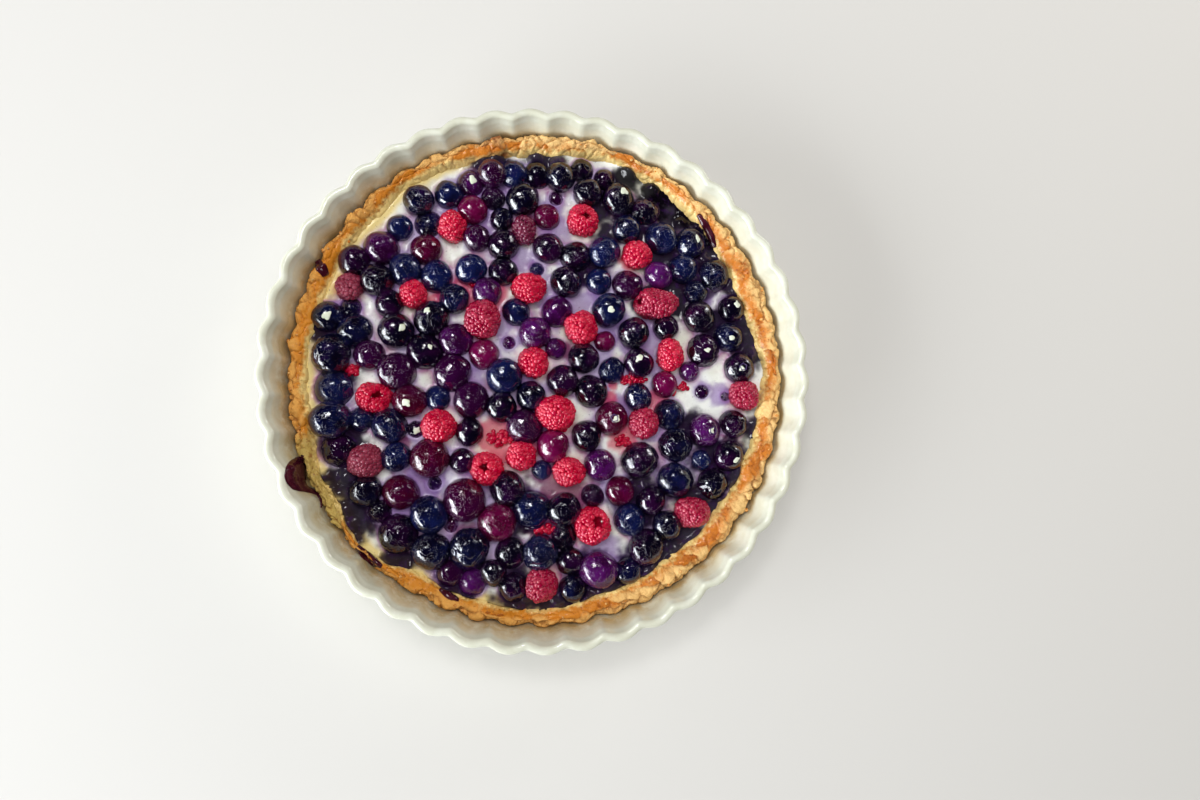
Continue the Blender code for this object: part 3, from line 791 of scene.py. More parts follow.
class BERRYTART_OT_crust(Operator):
    """The shortcrust case with its craggy rim"""
    bl_idname = "berry_tart.crust"
    bl_label = "Crust"

    def execute(self, context):
        look = context.scene.berry_tart.crust
        rows = 36
        low = FLOOR_TOP + GAP
        outer = inner_wall(CRUST_CUSP) - CRUST_CLEAR
        profile = [(0.0, low), (FOOT_RADIUS - 6 * MM, low),
                   (inner_wall(CRUST_FOOT) - CRUST_CLEAR, CRUST_FOOT)]
        profile += line((inner_wall(CRUST_BEND) - CRUST_CLEAR, CRUST_BEND), (outer, CRUST_CUSP), 6)
        for row in range(rows + 1):
            radius = outer + (CRUST_INNER_RADIUS - outer) * (row / rows)
            profile.append((radius, CRUST_CUSP + self.arch(row / rows)))
        profile += [(CRUST_INNER_RADIUS, CASE_BASE_TOP), (0.0, CASE_BASE_TOP)]
        bm = spun(profile, 1600)
        layers = number_layers(bm, "across", "crack", "lump", "brown", "left", "pale")
        bm.normal_update()
        moves = {vert: self.relief(vert, layers, look, outer) for vert in bm.verts}
        for vert, move in moves.items():
            vert.co += move
            self.keep_off_wall(vert)
        finished("crust_baked", bm, pastry_finish(look), ["crust"])
        return {"FINISHED"}

    @staticmethod
    def arch(share):
        """The height of the rim over its outer edge, from the outside in."""
        off_middle = abs(2 * share - 1)
        return -2.6 * MM * blend(0, 1, share) + 4.6 * MM * (1 - off_middle ** 2.4)

    @staticmethod
    def keep_off_wall(vert):
        """Draws a vertex in where a crag would press into the fluted wall."""
        radius = vert.co.xy.length
        limit = inner_wall(vert.co.z) - 0.4 * MM - flute(angle_of(vert.co), vert.co.z)
        if radius > limit:
            vert.co.xy *= limit / radius

    @staticmethod
    def crags(spot, look):
        """(height, depth of cracks, tallness) of the broken crumb at this spot."""
        warp = 0.3 * Vector(noise.noise_vector(spot / (4 * MM)))
        gaps, points = noise.voronoi(spot / look.flake + warp)
        small_gaps, _ = noise.voronoi(spot / (2.8 * MM) + warp)
        crease = 1 - blend(0, 1, (gaps[1] - gaps[0]) / 0.2)
        split = 1 - blend(0, 1, (small_gaps[1] - small_gaps[0]) / 0.16)
        tall = noise.cell(points[0] * 7)
        crumb = noise.fractal(spot / (1.5 * MM), 0.8, 2.0, 3)
        dome = max(0, 1 - (gaps[0] / 0.75) ** 2)
        lump = look.flake_height * (0.75 * dome + 0.45 * tall - 0.35) - look.crack * crease
        lump += 0.45 * MM * (0.5 - small_gaps[0]) - 0.35 * MM * split + 0.32 * MM * crumb
        return lump, crease * 0.8 + split * 0.4, tall

    def relief(self, vert, layers, look, outer):
        """How far this vertex moves for the flutes, the waves, the crags and the crumb."""
        radius = vert.co.xy.length
        height = vert.co.z
        if radius < 1 * MM:
            return Vector()
        angle = angle_of(vert.co)
        out = Vector((vert.co.x, vert.co.y, 0)) / radius
        inner_share = min(max((outer - radius) / (outer - CRUST_INNER_RADIUS), 0), 1)
        on_top = height > 22.6 * MM or (height > 20 * MM and inner_share > 0.5)
        if radius < CRUST_INNER_RADIUS + 0.1 * MM and not on_top:
            wall = case_inner(angle) - CRUST_INNER_RADIUS if height > FLOOR_TOP + 1 * MM else 0
            return out * (wall if radius > CRUST_INNER_RADIUS - 1 * MM else 0)
        in_shift = (crust_edge(angle) - CRUST_INNER_RADIUS) * blend(0, 1, inner_share)
        fluted = flute(angle, height) * blend(1, 0, inner_share * 1.6)
        move = out * (in_shift - fluted)
        if not on_top:
            return move if height > CRUST_FOOT - 1 * MM else Vector()
        lump, crack_shade, tall = self.crags(vert.co, look)
        cluster = blend(0, 1, 0.55 + 1.2 * wobble(angle, 26, 9.0))
        craggy = blend(1, 0.3, inner_share * 1.5 - 0.15) + 0.3 * blend(0, 1, inner_share * 3 - 2)
        craggy *= 0.7 + 0.45 * cluster
        edge = blend(0.45, 1, min(inner_share, 1 - inner_share) * 6)
        move += vert.normal * lump * edge * craggy
        wave = wobble(angle, 46, 0.14 * radius / MM)
        slope = 1.0 + 2.4 * math.sin(angle) + 0.8 * math.cos(angle)
        move.z += MM * (slope * (1 - 0.7 * inner_share) + (1.3 * wave + 0.8 * cluster) * edge)
        move += out * 1.3 * MM * max(0, math.sin(angle)) * (1 - inner_share)
        browned = 0.4 * blend(0, 1, 1 - off_by(angle, BROWNED_SIDE) / 0.7)
        vert[layers["across"]] = inner_share
        # How much painted shade darkens the crust here, by its cracks.
        vert[layers["crack"]] = crack_shade * craggy
        vert[layers["lump"]] = 0.2 + 0.35 * tall + 0.6 * cluster
        vert[layers["left"]] = blend(0, 1, 0.35 - 0.9 * math.cos(angle - 0.35))
        vert[layers["pale"]] = blend(1, 0, off_by(angle, PALE_CRUMB) / math.radians(15) - 0.3)
        vert[layers["brown"]] = browned + 0.4 * wobble(angle, 22, 5.0) + 0.15 * wave
        return move


def custard_finish(look):
    finish = Finish("set custard", IOR=1.5, Coat_Weight=0.15, Coat_Roughness=0.1)
    blur = finish.noise(160, 4, 0.6)
    cloud = finish.noise(45, 3, 0.5)
    fine = finish.noise(900, 3, 0.6)
    berry = finish.between(finish.marked("berry") + (blur - 0.5) * 0.9, 0.15, 1.05)
    red = finish.between(finish.marked("red") + (blur - 0.5) * 0.6, 0.15, 1.0)
    base = finish.mix(finish.between(cloud, 0.42, 0.7), look.milk, look.cream)
    base = finish.mix(finish.between(finish.marked("edge") + (blur - 0.5) * 0.5, 0.25, 0.8), base,
                      look.yellow)
    juice = finish.mix(finish.between(cloud, 0.4, 0.62), look.lilac, look.rosy)
    base = finish.mix(berry * 0.85, base, juice)
    # Painted highlight round the foot of each berry, where the custard climbs it.
    base = finish.mix(finish.between(finish.marked("berry"), 0.86, 1.0) * 0.55, base,
                      look.collar_highlight)
    base = finish.mix(red * 0.6, base, look.pink)
    wide = finish.noise(95, 5, 0.65)
    # The darkest of these is painted shade as well as pooled juice.
    for name, share in (("lilac", 0.72), ("magenta", 0.8), ("pink", 0.7), ("night", 0.96),
                        ("syrup", 0.96)):
        mask = finish.between(finish.marked(name) + (wide - 0.5) * 0.7, 0.05, 0.95)
        base = finish.mix(mask * share, base, getattr(look, name))
    mottled = finish.marked("night") * finish.between(finish.noise(240, 4, 0.6), 0.5, 0.75)
    base = finish.mix(mottled * 0.5, base, look.mottled)
    speck = finish.between(finish.noise(1000, 2, 0.5), 0.68, 0.73)
    still = finish.marked("night").most(finish.marked("syrup"))
    finish.surface(Base_Color=finish.mix(speck * 0.6, base, look.speck),
                   Roughness=0.2 + blur * 0.16 - still * 0.16,
                   Normal=finish.bump(blur * 0.7 + fine * (1 - still) * 0.12, 0.5 * MM, 0.6))
    return finish


class BERRYTART_OT_custard(Operator):
    """The custard, which climbs a little up each berry and has puffed by the crust"""
    bl_idname = "berry_tart.custard"
    bl_label = "Custard"

    def execute(self, context):
        look = context.scene.berry_tart.custard
        bm = bmesh.new()
        bmesh.ops.create_grid(bm, x_segments=240, y_segments=240, size=1.0)
        for vert in bm.verts:
            across, up = vert.co.x, vert.co.y
            vert.co.x = across * math.sqrt(1 - up * up / 2)
            vert.co.y = up * math.sqrt(1 - across * across / 2)
            vert.co.xy *= crust_edge(angle_of(vert.co)) + 1.6 * MM
        layers = number_layers(bm, "berry", "red", "edge", *STAINS)
        fruit = [(spot, radius, "berry") for _, spot, radius in blueberry_places()]
        fruit += [(spot, min(half.xy), "red") for spot, half in raspberry_boxes()]
        near = KDTree(len(fruit))
        for index, (spot, _, _) in enumerate(fruit):
            near.insert((spot.x, spot.y, 0), index)
        near.balance()
        stains = [(seen_at(across, down, CUSTARD_TOP).xy, size_of(reach), name)
                  for name, spots in STAINS.items() for across, down, reach in spots]
        for vert in bm.verts:
            self.raise_round_fruit(vert, layers, near, fruit, look)
            self.soak(vert, layers, stains)
        rim = [edge for edge in bm.edges if edge.is_boundary]
        for height, inset in ((CUSTARD_TOP - 1 * MM, 2.2 * MM), (CASE_BASE_TOP + GAP, 0.4 * MM)):
            made = bmesh.ops.extrude_edge_only(bm, edges=rim)["geom"]
            rim = [edge for edge in made if isinstance(edge, bmesh.types.BMEdge)]
            for vert in {vert for edge in rim for vert in edge.verts}:
                vert.co.z = height
                push_in(vert, inset)
        bmesh.ops.contextual_create(bm, geom=rim)
        bmesh.ops.recalc_face_normals(bm, faces=bm.faces)
        finished("custard_set", bm, custard_finish(look), ["filling"])
        return {"FINISHED"}

    @staticmethod
    def soak(vert, layers, stains):
        """Marks how much of each juice, and of the painted shade among crowded berries, lies here,
        and humps it over the berries it has drowned.
        """
        flat = Vector((vert.co.x, vert.co.y, 0))
        ragged = 1 + 0.5 * noise.noise(flat / (7 * MM)) + 0.2 * noise.noise(flat / (2.6 * MM))
        for spot, reach, name in stains:
            strength = 1 - (vert.co.xy - spot).length / (reach * ragged)
            if strength > 0:
                vert[layers[name]] = max(vert[layers[name]], blend(0, 1, strength * 1.5))
        drowned = min(1, 1.5 * max(vert[layers["night"]], vert[layers["syrup"]]))
        gaps, _ = noise.voronoi(flat / (11 * MM))
        vert.co.z += 3.2 * MM * drowned * max(0, 1 - (gaps[0] / 0.5) ** 2)

    @staticmethod
    def raise_round_fruit(vert, layers, near, fruit, look):
        """Sets the custard's height here, and how much juice has run into it."""
        flat = Vector((vert.co.x, vert.co.y, 0))
        angle = angle_of(flat)
        inward = crust_edge(angle) - flat.length
        climb = 0.0
        dip = 0.0
        for _, index, distance in near.find_n(flat, NEIGHBOURS):
            spot, radius, kind = fruit[index]
            rise = spot.z - CUSTARD_TOP
            reach = math.sqrt(max(radius * radius - rise * rise, 0))
            gap = distance - reach
            if gap > 0:
                climb = max(climb, look.meniscus * math.exp(-gap / (1.1 * MM)))
            else:
                dip = max(dip, blend(0, 1, -gap / (2 * MM)))
                climb = max(climb, look.meniscus)
            layer = layers[kind]
            juice = 0.75 * math.exp(-max(gap, 0) / JUICE_FADE[kind])
            vert[layer] = min(1.0, vert[layer] + juice)
        swell = look.puff * math.exp(-max(inward, 0) / (4.5 * MM))
        swell *= 0.75 + 0.5 * wobble(angle, 50, 4)
        soft = 0.35 * MM * noise.noise(vert.co / (9 * MM))
        soft += 0.15 * MM * noise.noise(vert.co / (3 * MM))
        vert.co.z = CUSTARD_TOP + 0.4 * MM + climb + swell + soft - 3 * MM * dip
        side = blend(0.25, 1.0, 0.5 - 0.9 * math.cos(angle - math.radians(20)))
        vert[layers["edge"]] = math.exp(-max(inward, 0) / (5.0 * MM)) * side


def blueberry_finish(name, skin, bloom_and_sheen, look):
    finish = Finish(name, IOR=2.1, Coat_Weight=0.25, Coat_Roughness=0.03)
    tone = finish.marked("tone")
    skirt = finish.marked("skirt")
    blur = finish.noise(150, 4, 0.6)
    fine = finish.noise(520, 4, 0.65)
    off = finish.noise(260, 3, 0.55, 0.8) - 0.5
    crease = (1 - finish.between(off * off, 0.0, 0.004)) * (0.25 + finish.marked("shrunk"))
    # Lighter patches, partly bloom and partly painted sheen.
    base = finish.mix(finish.between(blur * 0.9 + tone * 0.6, 0.65, 1.15), skin, bloom_and_sheen)
    rosy = finish.between(finish.noise(75, 3, 0.6) - tone * 0.25, 0.38, 0.62)
    base = finish.mix(rosy * 0.6, base, look.flushed)
    # Painted light shining through the skin, low on the berry by the custard.
    lit_through_skin = finish.mix(skirt * finish.between(blur, 0.35, 0.65) * 0.5, base, look.lit_through_skin)
    film = finish.between(skirt + (fine - 0.5) * 0.9, 0.86, 1.15)
    finish.surface(Base_Color=finish.mix(film * 0.6, lit_through_skin, look.film),
                   Roughness=0.03 + blur * 0.07 + film * 0.2,
                   Normal=finish.bump(blur * 0.8 + fine * 0.08 - crease * 0.3, 0.6 * MM, 0.8))
    return finish


class BERRYTART_OT_blueberries(Operator):
    """The blueberries, in one piece for each kind of skin"""
    bl_idname = "berry_tart.blueberries"
    bl_label = "Blueberries"

    def execute(self, context):
        look = context.scene.berry_tart.fruit
        kinds = {
            "n": ("blueberries_navy", look.navy, look.navy_bloom_and_sheen),
            "v": ("blueberries_violet", look.violet, look.violet_bloom_and_sheen),
            "m": ("blueberries_maroon", look.maroon, look.maroon_bloom_and_sheen),
            "w": ("blueberries_wrinkled", look.navy, look.shrunk_bloom_and_sheen),
        }
        places = blueberry_places()
        ball = ball_mesh(look.sides, look.sides * 2 // 3)
        fine_ball = ball_mesh(look.sides * 2, look.sides * 4 // 3)
        draw = random.Random(5)
        for kind, (name, skin, bloom_and_sheen) in kinds.items():
            bm = bmesh.new()
            layers = number_layers(bm, "tone", "skirt", "shrunk")
            for looks, spot, radius in places:
                if looks[0] == kind:
                    verts = add_copy(bm, fine_ball if kind == "w" else ball)
                    self.shape_berry(verts, layers, spot, radius, draw, look, kind == "w")
            finish = blueberry_finish(name.replace("_", " "), skin, bloom_and_sheen, look)
            finished(name, bm, finish)
        return {"FINISHED"}

    @staticmethod
    def shape_berry(verts, layers, spot, radius, draw, look, wrinkled):
        """One berry: slightly oval, not quite even, and with folds in its skin if it has shrunk."""
        turn = Quaternion((draw.uniform(-1, 1), draw.uniform(-1, 1), draw.uniform(-1, 1)),
                          draw.uniform(0, TURN))
        seed = Vector((draw.uniform(0, 99), draw.uniform(0, 99), draw.uniform(0, 99)))
        oval = draw.uniform(0.0, 0.12)
        lean = draw.uniform(0, TURN)
        tone = draw.uniform(0, 1)
        shrunk = draw.uniform(0, 1) ** 1.5
        for vert in verts:
            out = turn @ vert.co
            bulge = 0.07 * noise.noise(out * 1.4 + seed) + 0.028 * noise.noise(out * 3.6 + seed)
            if wrinkled:
                bent = out * 2.6 + seed + 0.5 * Vector(noise.noise_vector(out * 1.5 + seed))
                ridge = min(1, abs(noise.noise(bent)) * 4)
                finer = min(1, abs(noise.noise(bent * 2.2)) * 3)
                bulge += look.wrinkle / radius * (ridge + 0.4 * finer - 1.2)
            vert.co = out * (1 + bulge)
            along = out.x * math.cos(lean) + out.y * math.sin(lean)
            stretch = Vector((math.cos(lean), math.sin(lean), 0)) * along * oval
            vert.co = (vert.co + stretch * 0.8 - (out - stretch) * oval * 0.25) * radius
            vert.co.z *= BLUEBERRY_HEIGHT
            vert.co += spot
            vert[layers["tone"]] = tone
            vert[layers["shrunk"]] = shrunk
            over = vert.co.z - CUSTARD_TOP - 0.6 * MM
            vert[layers["skirt"]] = blend(1, 0, over / (4 * MM))


def raspberry_finish(name, skin, matt):
    finish = Finish(name, IOR=1.75, Coat_Weight=0.5 * (1 - matt), Coat_Roughness=0.06,
                    Subsurface_Weight=0.3, Subsurface_Scale=1.2 * MM,
                    Subsurface_Radius=(1.0, 0.25, 0.3))
    tone = finish.marked("tone")
    blur = finish.noise(220, 3, 0.6)
    light = toned(skin, 1.25, 0.03)
    base = finish.mix(finish.between(tone * 0.6 + blur * 0.6, 0.35, 0.85), skin, light)
    # Painted shade: the core shows between the beads and in the hollow, and is darkened there.
    hollow = finish.mix(finish.marked("deep"), base, toned(skin, 0.7))
    finish.surface(Base_Color=hollow, Roughness=0.08 + matt * 0.25 + blur * 0.12,
                   Normal=finish.bump(finish.noise(500, 3), 0.25 * MM, 0.5))
    return finish


class BERRYTART_OT_raspberries(Operator):
    """The raspberries, each a ball of beads full of juice, some with the hollow of their core
    showing
    """
    bl_idname = "berry_tart.raspberries"
    bl_label = "Raspberries"

    def execute(self, context):
        look = context.scene.berry_tart.fruit
        finishes = {}
        for tone in ("red", "crimson", "dark", "dusty"):
            skin = getattr(look, tone)
            finishes[tone] = raspberry_finish(f"raspberry {tone}", skin, tone == "dusty")
        core = ball_mesh(20, 14)
        bead = ball_mesh(BEAD_SIDES, BEAD_RINGS)
        draw = random.Random(21)
        berries = zip(RASPBERRIES, raspberry_boxes())
        for number, ((tone, opening), (spot, half)) in enumerate(berries, start=1):
            bm = bmesh.new()
            layers = number_layers(bm, "tone", "deep")
            if opening is None:
                axis = Vector((draw.uniform(-0.35, 0.35), draw.uniform(-0.35, 0.35), 1))
            else:
                axis = Vector((opening[0], opening[1], 1 - abs(opening[0])))
            turn = axis.to_track_quat("Z", "Y")
            hollow = opening is not None
            bead_size = look.drupelet / 2 * BEAD_WIDTH
            body = half - Vector((bead_size, bead_size, bead_size)) * 0.75
            self.shape_core(add_copy(bm, core), layers["deep"], spot, body * 0.97, turn, hollow)
            for place, size in self.bead_places(spot, half, body, turn, hollow, draw, look):
                shade = draw.uniform(0, 1)
                for vert in add_copy(bm, bead):
                    vert.co = place + vert.co * size * bead_size
                    vert[layers["tone"]] = shade
            finished(f"raspberry_beads_{number:02d}", bm, finishes[tone],
                     [f"raspberry_{number:02d}"])
        return {"FINISHED"}

    @staticmethod
    def shape_core(verts, deep, spot, size, turn, hollow):
        """The body under the beads, dented where the berry came off its core; its colour is painted
        darker, as shade between the beads and in the hollow.
        """
        for vert in verts:
            place = vert.co.copy()
            width = place.xy.length
            if hollow and place.z > 0 and width < 0.34:
                place.z = -0.2 + width
            vert.co = spot + sized(turn @ place, size)
            vert[deep] = 1.0

    @staticmethod
    def bead_places(spot, half, body, turn, hollow, draw, look):
        """(place, size) of each bead, on a spiral; none in the custard or in the hollow."""
        seed = Vector((draw.uniform(0, 99), draw.uniform(0, 99), 0))
        step = look.drupelet / ((half.x + half.y) / 2)
        count = round(2 * TURN / (0.87 * step * step))
        for index in range(count):
            level = 1 - 2 * (index + 0.5) / count
            polar = math.acos(level) + draw.uniform(-0.22, 0.22) * step
            around = index * GOLDEN_TURN
            around += draw.uniform(-0.22, 0.22) * step / math.sin(math.acos(level))
            if hollow and polar < HOLLOW_EDGE:
                continue
            out = Vector((math.sin(polar) * math.cos(around),
                          math.sin(polar) * math.sin(around), math.cos(polar)))
            out *= 1.0 + draw.uniform(-0.035, 0.035) + 0.16 * noise.noise(out * 1.3 + seed)
            if hollow and polar < HOLLOW_EDGE + step:
                out.z -= 0.08
            place = spot + sized(turn @ out, body)
            if place.z > CUSTARD_TOP - 2 * MM:
                yield place, draw.uniform(0.8, 1.2)


def splash_finish(name, skin, roughness):
    finish = Finish(name, Roughness=roughness, Coat_Weight=0.8, Coat_Roughness=0.06)
    blur = finish.noise(260, 4, 0.6)
    light = toned(skin, 1.5, 0.01)
    finish.surface(Base_Color=finish.mix(finish.between(blur, 0.4, 0.75), skin, light),
                   Normal=finish.bump(blur, 0.3 * MM, 0.6))
    return finish


class BERRYTART_OT_fragments(Operator):
    """Torn bits of raspberry, half sunk in the custard"""
    bl_idname = "berry_tart.fragments"
    bl_label = "Raspberry fragments"

    def execute(self, context):
        look = context.scene.berry_tart.fruit
        bead = ball_mesh(BEAD_SIDES, BEAD_RINGS)
        draw = random.Random(8)
        bm = bmesh.new()
        layers = number_layers(bm, "tone", "deep")
        for across, down, width, depth in FRAGMENTS:
            spot = seen_at(across, down, CUSTARD_TOP + 1 * MM)
            half = Vector((size_of(width), size_of(depth), 0)) / 2
            count = round(math.pi * half.x * half.y / (look.drupelet * look.drupelet * 0.62))
            for index in range(count):
                reach = math.sqrt((index + 0.5) / count)
                around = index * GOLDEN_TURN + draw.uniform(-0.3, 0.3)
                place = spot + Vector((half.x * reach * math.cos(around),
                                       half.y * reach * math.sin(around),
                                       draw.uniform(-0.4, 0.9) * MM + 1.1 * MM * (1 - reach)))
                size = look.drupelet * draw.uniform(0.5, 0.72)
                stretch = draw.uniform(0.8, 1.3)
                shade = draw.uniform(0, 1)
                for vert in add_copy(bm, bead):
                    vert.co = place + sized(vert.co, (stretch, 1, 0.8)) * size
                    vert[layers["tone"]] = shade
                    # The torn bits take the same painted shade, stronger towards their edges.
                    vert[layers["deep"]] = 0.4 * reach
        finished("raspberry_fragments", bm, raspberry_finish("torn raspberry", look.red, False))
        return {"FINISHED"}


class BERRYTART_OT_spills(Operator):
    """Juice and jam that boiled over the pastry and baked on, and loose crumbs"""
    bl_idname = "berry_tart.spills"
    bl_label = "Spills and crumbs"

    def execute(self, context):
        look = context.scene.berry_tart
        surfaces = [surface_of(name) for name in ("crust_baked", "dish_glazed", "custard_set")]
        spills = bmesh.new()
        for run in SPILLS:
            self.add_spill(spills, run, surfaces)
        bmesh.ops.recalc_face_normals(spills, faces=spills.faces)
        finished("juice_spills", spills, splash_finish("boiled juice", look.custard.spill, 0.25))
        crumbs = bmesh.new()
        self.add_crumbs(crumbs, surfaces)
        crumb = Finish("loose crumbs", Roughness=0.8)
        patch = crumb.noise(700, 3, 0.6)
        crumb.surface(Base_Color=crumb.mix(crumb.between(patch, 0.35, 0.65), look.crust.cream,
                                           look.crust.golden))
        finished("pastry_crumbs", crumbs, crumb)
        return {"FINISHED"}

    @staticmethod
    def add_spill(bm, run, surfaces):
        """A thin skin over whatever lies under the run, thick in the middle, sunk at its edge."""
        vectors = bm.verts.layers.float_vector
        facing = vectors.get("facing") or vectors.new("facing")
        verts = bmesh.ops.create_grid(bm, x_segments=6 * (len(run) - 1), y_segments=8,
                                      size=1.0)["verts"]
        for vert in verts:
            place = (vert.co.x + 1) / 2 * (len(run) - 1)
            index = min(int(place), len(run) - 2)
            share = blend(0, 1, place - index)
            across, down, width = (a + (b - a) * share for a, b in zip(run[index], run[index + 1]))
            along = Vector((run[index + 1][0] - run[index][0], run[index + 1][1] - run[index][1]))
            side = Vector((-along.y, along.x)).normalized()
            ragged = 1 + 0.3 * noise.noise(Vector((place * 1.7, vert.co.y, down)))
            offset = vert.co.y * width / 2 * ragged
            ends = 1 - abs(vert.co.x) ** 6
            lift = 0.75 * MM * ends * (1 - vert.co.y ** 2) - 0.12 * MM
            lift *= 1 + 0.6 * noise.noise(Vector((across, down, 0)) / 5)
            sight = sight_line(across + side.x * offset, down + side.y * offset)
            spot, normal = struck(EYE, sight.normalized(), surfaces)
            vert.co = spot + normal * lift
            vert[facing] = normal
        for _ in range(3):
            bmesh.ops.smooth_vert(bm, verts=verts, factor=0.5, use_axis_x=True, use_axis_y=True,
                                  use_axis_z=True)
        faces = list({face for vert in verts for face in vert.link_faces})
        made = bmesh.ops.extrude_face_region(bm, geom=faces, use_keep_orig=True)["geom"]
        for vert in made:
            if isinstance(vert, bmesh.types.BMVert):
                vert.co += vert[facing] * 0.4 * MM

    @staticmethod
    def add_crumbs(bm, surfaces):
        """Bits of pastry that broke off, most of them in the dish beside the crust."""
        draw = random.Random(12)
        ball = bmesh.new()
        bmesh.ops.create_icosphere(ball, subdivisions=2, radius=1.0)
        crumb = mesh_of("crumb", ball)
        for _ in range(CRUMBS):
            angle = draw.uniform(0, TURN)
            reach = min(draw.gauss(128.0, 2.5), 132) * MM
            over = Vector((reach * math.cos(angle), reach * math.sin(angle), 60 * MM))
            landing = struck(over, Vector((0, 0, -1)), surfaces)
            if landing is None or landing[1].z < 0.35:
                continue
            spot, normal = landing
            size = draw.uniform(0.35, 0.95) * MM
            seed = Vector((draw.uniform(0, 99), 0, 0))
            for vert in add_copy(bm, crumb):
                ragged = 1 + 0.7 * noise.noise(vert.co * 1.6 + seed)
                vert.co = spot + normal * size * 0.4 + vert.co * size * ragged


class BERRYTART_OT_crowns(Operator):
    """The small crowns of the blueberries that lie crown up, and the custard left on others"""
    bl_idname = "berry_tart.crowns"
    bl_label = "Crowns and custard spots"

    def execute(self, context):
        look = context.scene.berry_tart
        draw = random.Random(33)
        crowns = bmesh.new()
        spots = bmesh.new()
        for looks, spot, radius in blueberry_places():
            if "o" in looks:
                self.add_crown(crowns, spot, radius, draw)
            if "c" in looks:
                self.add_spot(spots, spot, radius, draw)
        finished("blueberry_crowns", crowns,
                 splash_finish("crown skin", look.fruit.crown, 0.35))
        custard = Finish("custard on fruit", Roughness=0.4, Coat_Weight=0.3)
        blur = custard.noise(500, 3, 0.6)
        custard.surface(Base_Color=custard.mix(blur, look.custard.milk,
                                               look.custard.dried))
        finished("custard_spots", spots, custard)
        return {"FINISHED"}

    @staticmethod
    def add_crown(bm, spot, radius, draw):
        """A low ring of five worn lobes, standing off the skin."""
        axis = Vector((draw.uniform(-0.1, 0.35), draw.uniform(-0.1, 0.3), 1)).normalized()
        turn = axis.to_track_quat("Z", "Y")
        ring = bmesh.ops.create_circle(bm, segments=8, radius=0.32 * MM)["verts"]
        for vert in ring:
            vert.co = Vector((1.75 * MM + vert.co.x, 0, vert.co.y))
        edges = list({edge for vert in ring for edge in vert.link_edges})
        bmesh.ops.spin(bm, geom=ring + edges, cent=(0, 0, 0), axis=(0, 0, 1), angle=TURN,
                       steps=30, use_merge=True)
        # The new ring still lies round the origin, and the crowns before it no longer do.
        new = [vert for vert in bm.verts if vert.co.length < 4 * MM]
        place = spot + axis * radius * BLUEBERRY_HEIGHT
        for vert in new:
            vert.co.xy *= 1 + 0.1 * math.cos(5 * angle_of(vert.co))
            vert.co = place + turn @ vert.co

    @staticmethod
    def add_spot(bm, spot, radius, draw):
        """A thin lens of custard that follows the berry's skin, with an uneven outline."""
        axis = Vector((draw.uniform(-0.2, 0.5), draw.uniform(-0.4, 0.3), 1)).normalized()
        turn = axis.to_track_quat("Z", "Y")
        size = draw.uniform(1.5, 2.5) * MM
        seed = draw.uniform(0, 99)
        verts = bmesh.ops.create_uvsphere(bm, u_segments=20, v_segments=10, radius=1.0)["verts"]
        for vert in verts:
            ragged = 1 + 0.45 * wobble(angle_of(vert.co), 7, seed)
            flat = Vector((vert.co.x * size * ragged, vert.co.y * size * ragged * 0.8, 0))
            out = turn @ Vector((flat.x, flat.y, radius)).normalized()
            lift = 0.28 * MM * vert.co.z
            skin = Vector((out.x, out.y, out.z * BLUEBERRY_HEIGHT)) * radius * 1.01
            vert.co = spot + skin + out * lift


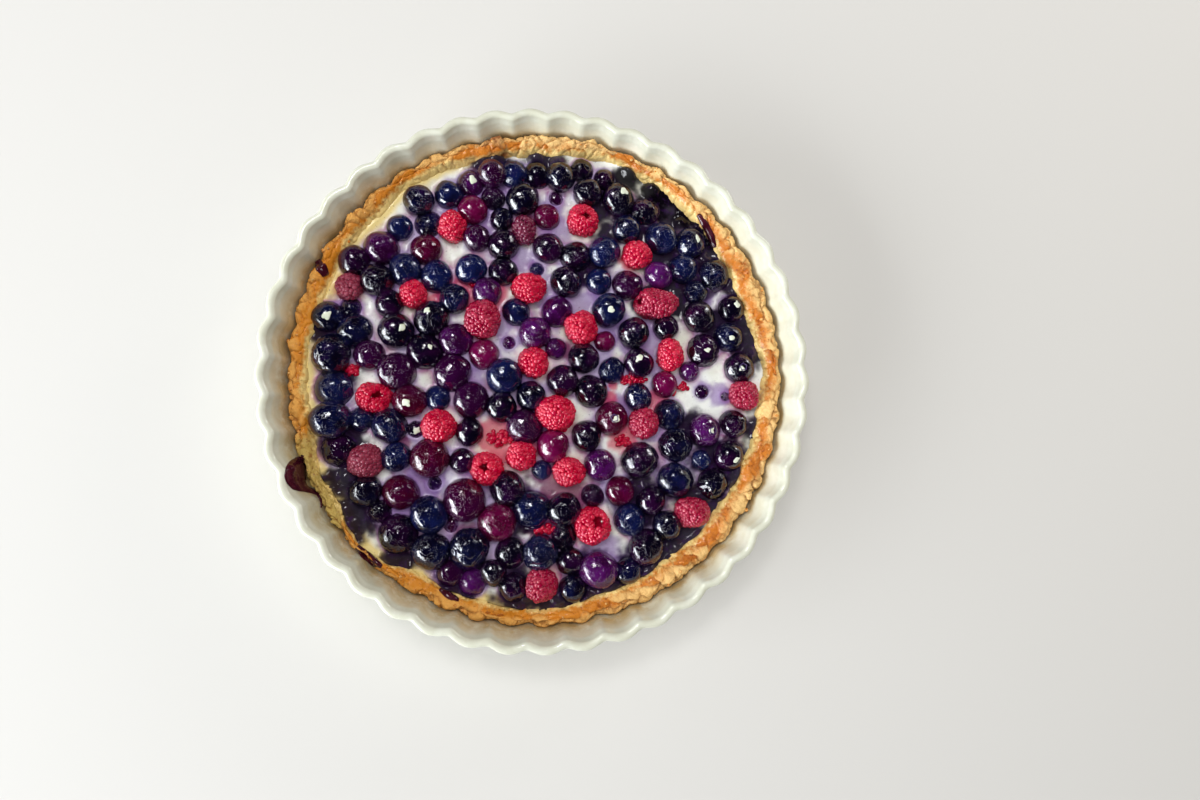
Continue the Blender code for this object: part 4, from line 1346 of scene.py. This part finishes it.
class BERRYTART_OT_stage(Operator):
    """The floor, the lights and the camera"""
    bl_idname = "berry_tart.stage"
    bl_label = "Stage"

    def execute(self, context):
        look = context.scene.berry_tart.studio
        scene = context.scene
        bm = bmesh.new()
        bmesh.ops.create_grid(bm, x_segments=1, y_segments=1, size=4.0)
        paint = Finish("plain floor", Base_Color=look.floor, Roughness=0.8)
        placed(mesh_of("floor", bm), paint)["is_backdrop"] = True
        world = bpy.data.worlds.new("soft sky")
        world.use_nodes = True
        background = world.node_tree.nodes["Background"]
        background.inputs["Color"].default_value = (0.96, 0.98, 1, 1)
        background.inputs["Strength"].default_value = look.sky
        scene.world = world
        world.cycles_visibility.glossy = False
        for name, (size, place, tint, mirrored) in LIGHTS.items():
            light = self.add_light(name, getattr(look, name), size, Vector(place))
            light.data.color = tint
            light.visible_glossy = mirrored
        scene.view_settings.view_transform = "Standard"
        scene.view_settings.look = "Medium High Contrast"
        lens = bpy.data.cameras.new("camera")
        lens.sensor_width = 36.0
        lens.lens = FRAME_FOCAL / FRAME_SIZE[0] * lens.sensor_width
        lens.clip_start = 0.01
        camera = bpy.data.objects.new("camera", lens)
        camera.location = EYE
        camera.rotation_euler = eye_turn().to_euler()
        scene.collection.objects.link(camera)
        scene.camera = camera
        return {"FINISHED"}

    @staticmethod
    def add_light(name, power, size, place):
        lamp = bpy.data.lights.new(name, "AREA")
        lamp.shape = "RECTANGLE"
        lamp.size, lamp.size_y = size
        lamp.energy = power
        light = bpy.data.objects.new(name, lamp)
        light.location = place
        light.rotation_euler = place.to_track_quat("Z", "Y").to_euler()
        bpy.context.scene.collection.objects.link(light)
        return light


class BERRYTART_PT_sidebar(Panel):
    """Lists the pieces of the tart"""
    bl_label = "Berry Tart"
    bl_space_type = "VIEW_3D"
    bl_region_type = "UI"
    bl_category = "Berry Tart"

    def draw(self, context):
        looks = context.scene.berry_tart
        for operator in OPERATORS:
            self.layout.operator(operator.bl_idname)
        for group in (looks.dish, looks.crust, looks.custard, looks.fruit, looks.studio):
            box = self.layout.box()
            for name in group.bl_rna.properties.keys():
                if name not in ("rna_type", "name"):
                    box.prop(group, name)


GROUPS = (DishLook, CrustLook, CustardLook, FruitLook, StudioLook, TartLook)
OPERATORS = (BERRYTART_OT_dish, BERRYTART_OT_crust, BERRYTART_OT_custard,
             BERRYTART_OT_blueberries, BERRYTART_OT_crowns, BERRYTART_OT_raspberries,
             BERRYTART_OT_fragments, BERRYTART_OT_spills, BERRYTART_OT_stage)


def register():
    noise.seed_set(NOISE_SEED)
    for group in GROUPS + OPERATORS + (BERRYTART_PT_sidebar,):
        bpy.utils.register_class(group)
    bpy.types.Scene.berry_tart = PointerProperty(type=TartLook)


def unregister():
    del bpy.types.Scene.berry_tart
    for group in reversed(GROUPS + OPERATORS + (BERRYTART_PT_sidebar,)):
        bpy.utils.unregister_class(group)


def main():
    register()
    for operator in OPERATORS:
        getattr(bpy.ops.berry_tart, operator.bl_idname.split(".")[1])()
    boxes = {"cad": CAD_BOX, "visual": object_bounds()}
    {name: [list(low), list(high)] for name, (low, high) in boxes.items()}


if __name__ == "__main__":
    main()
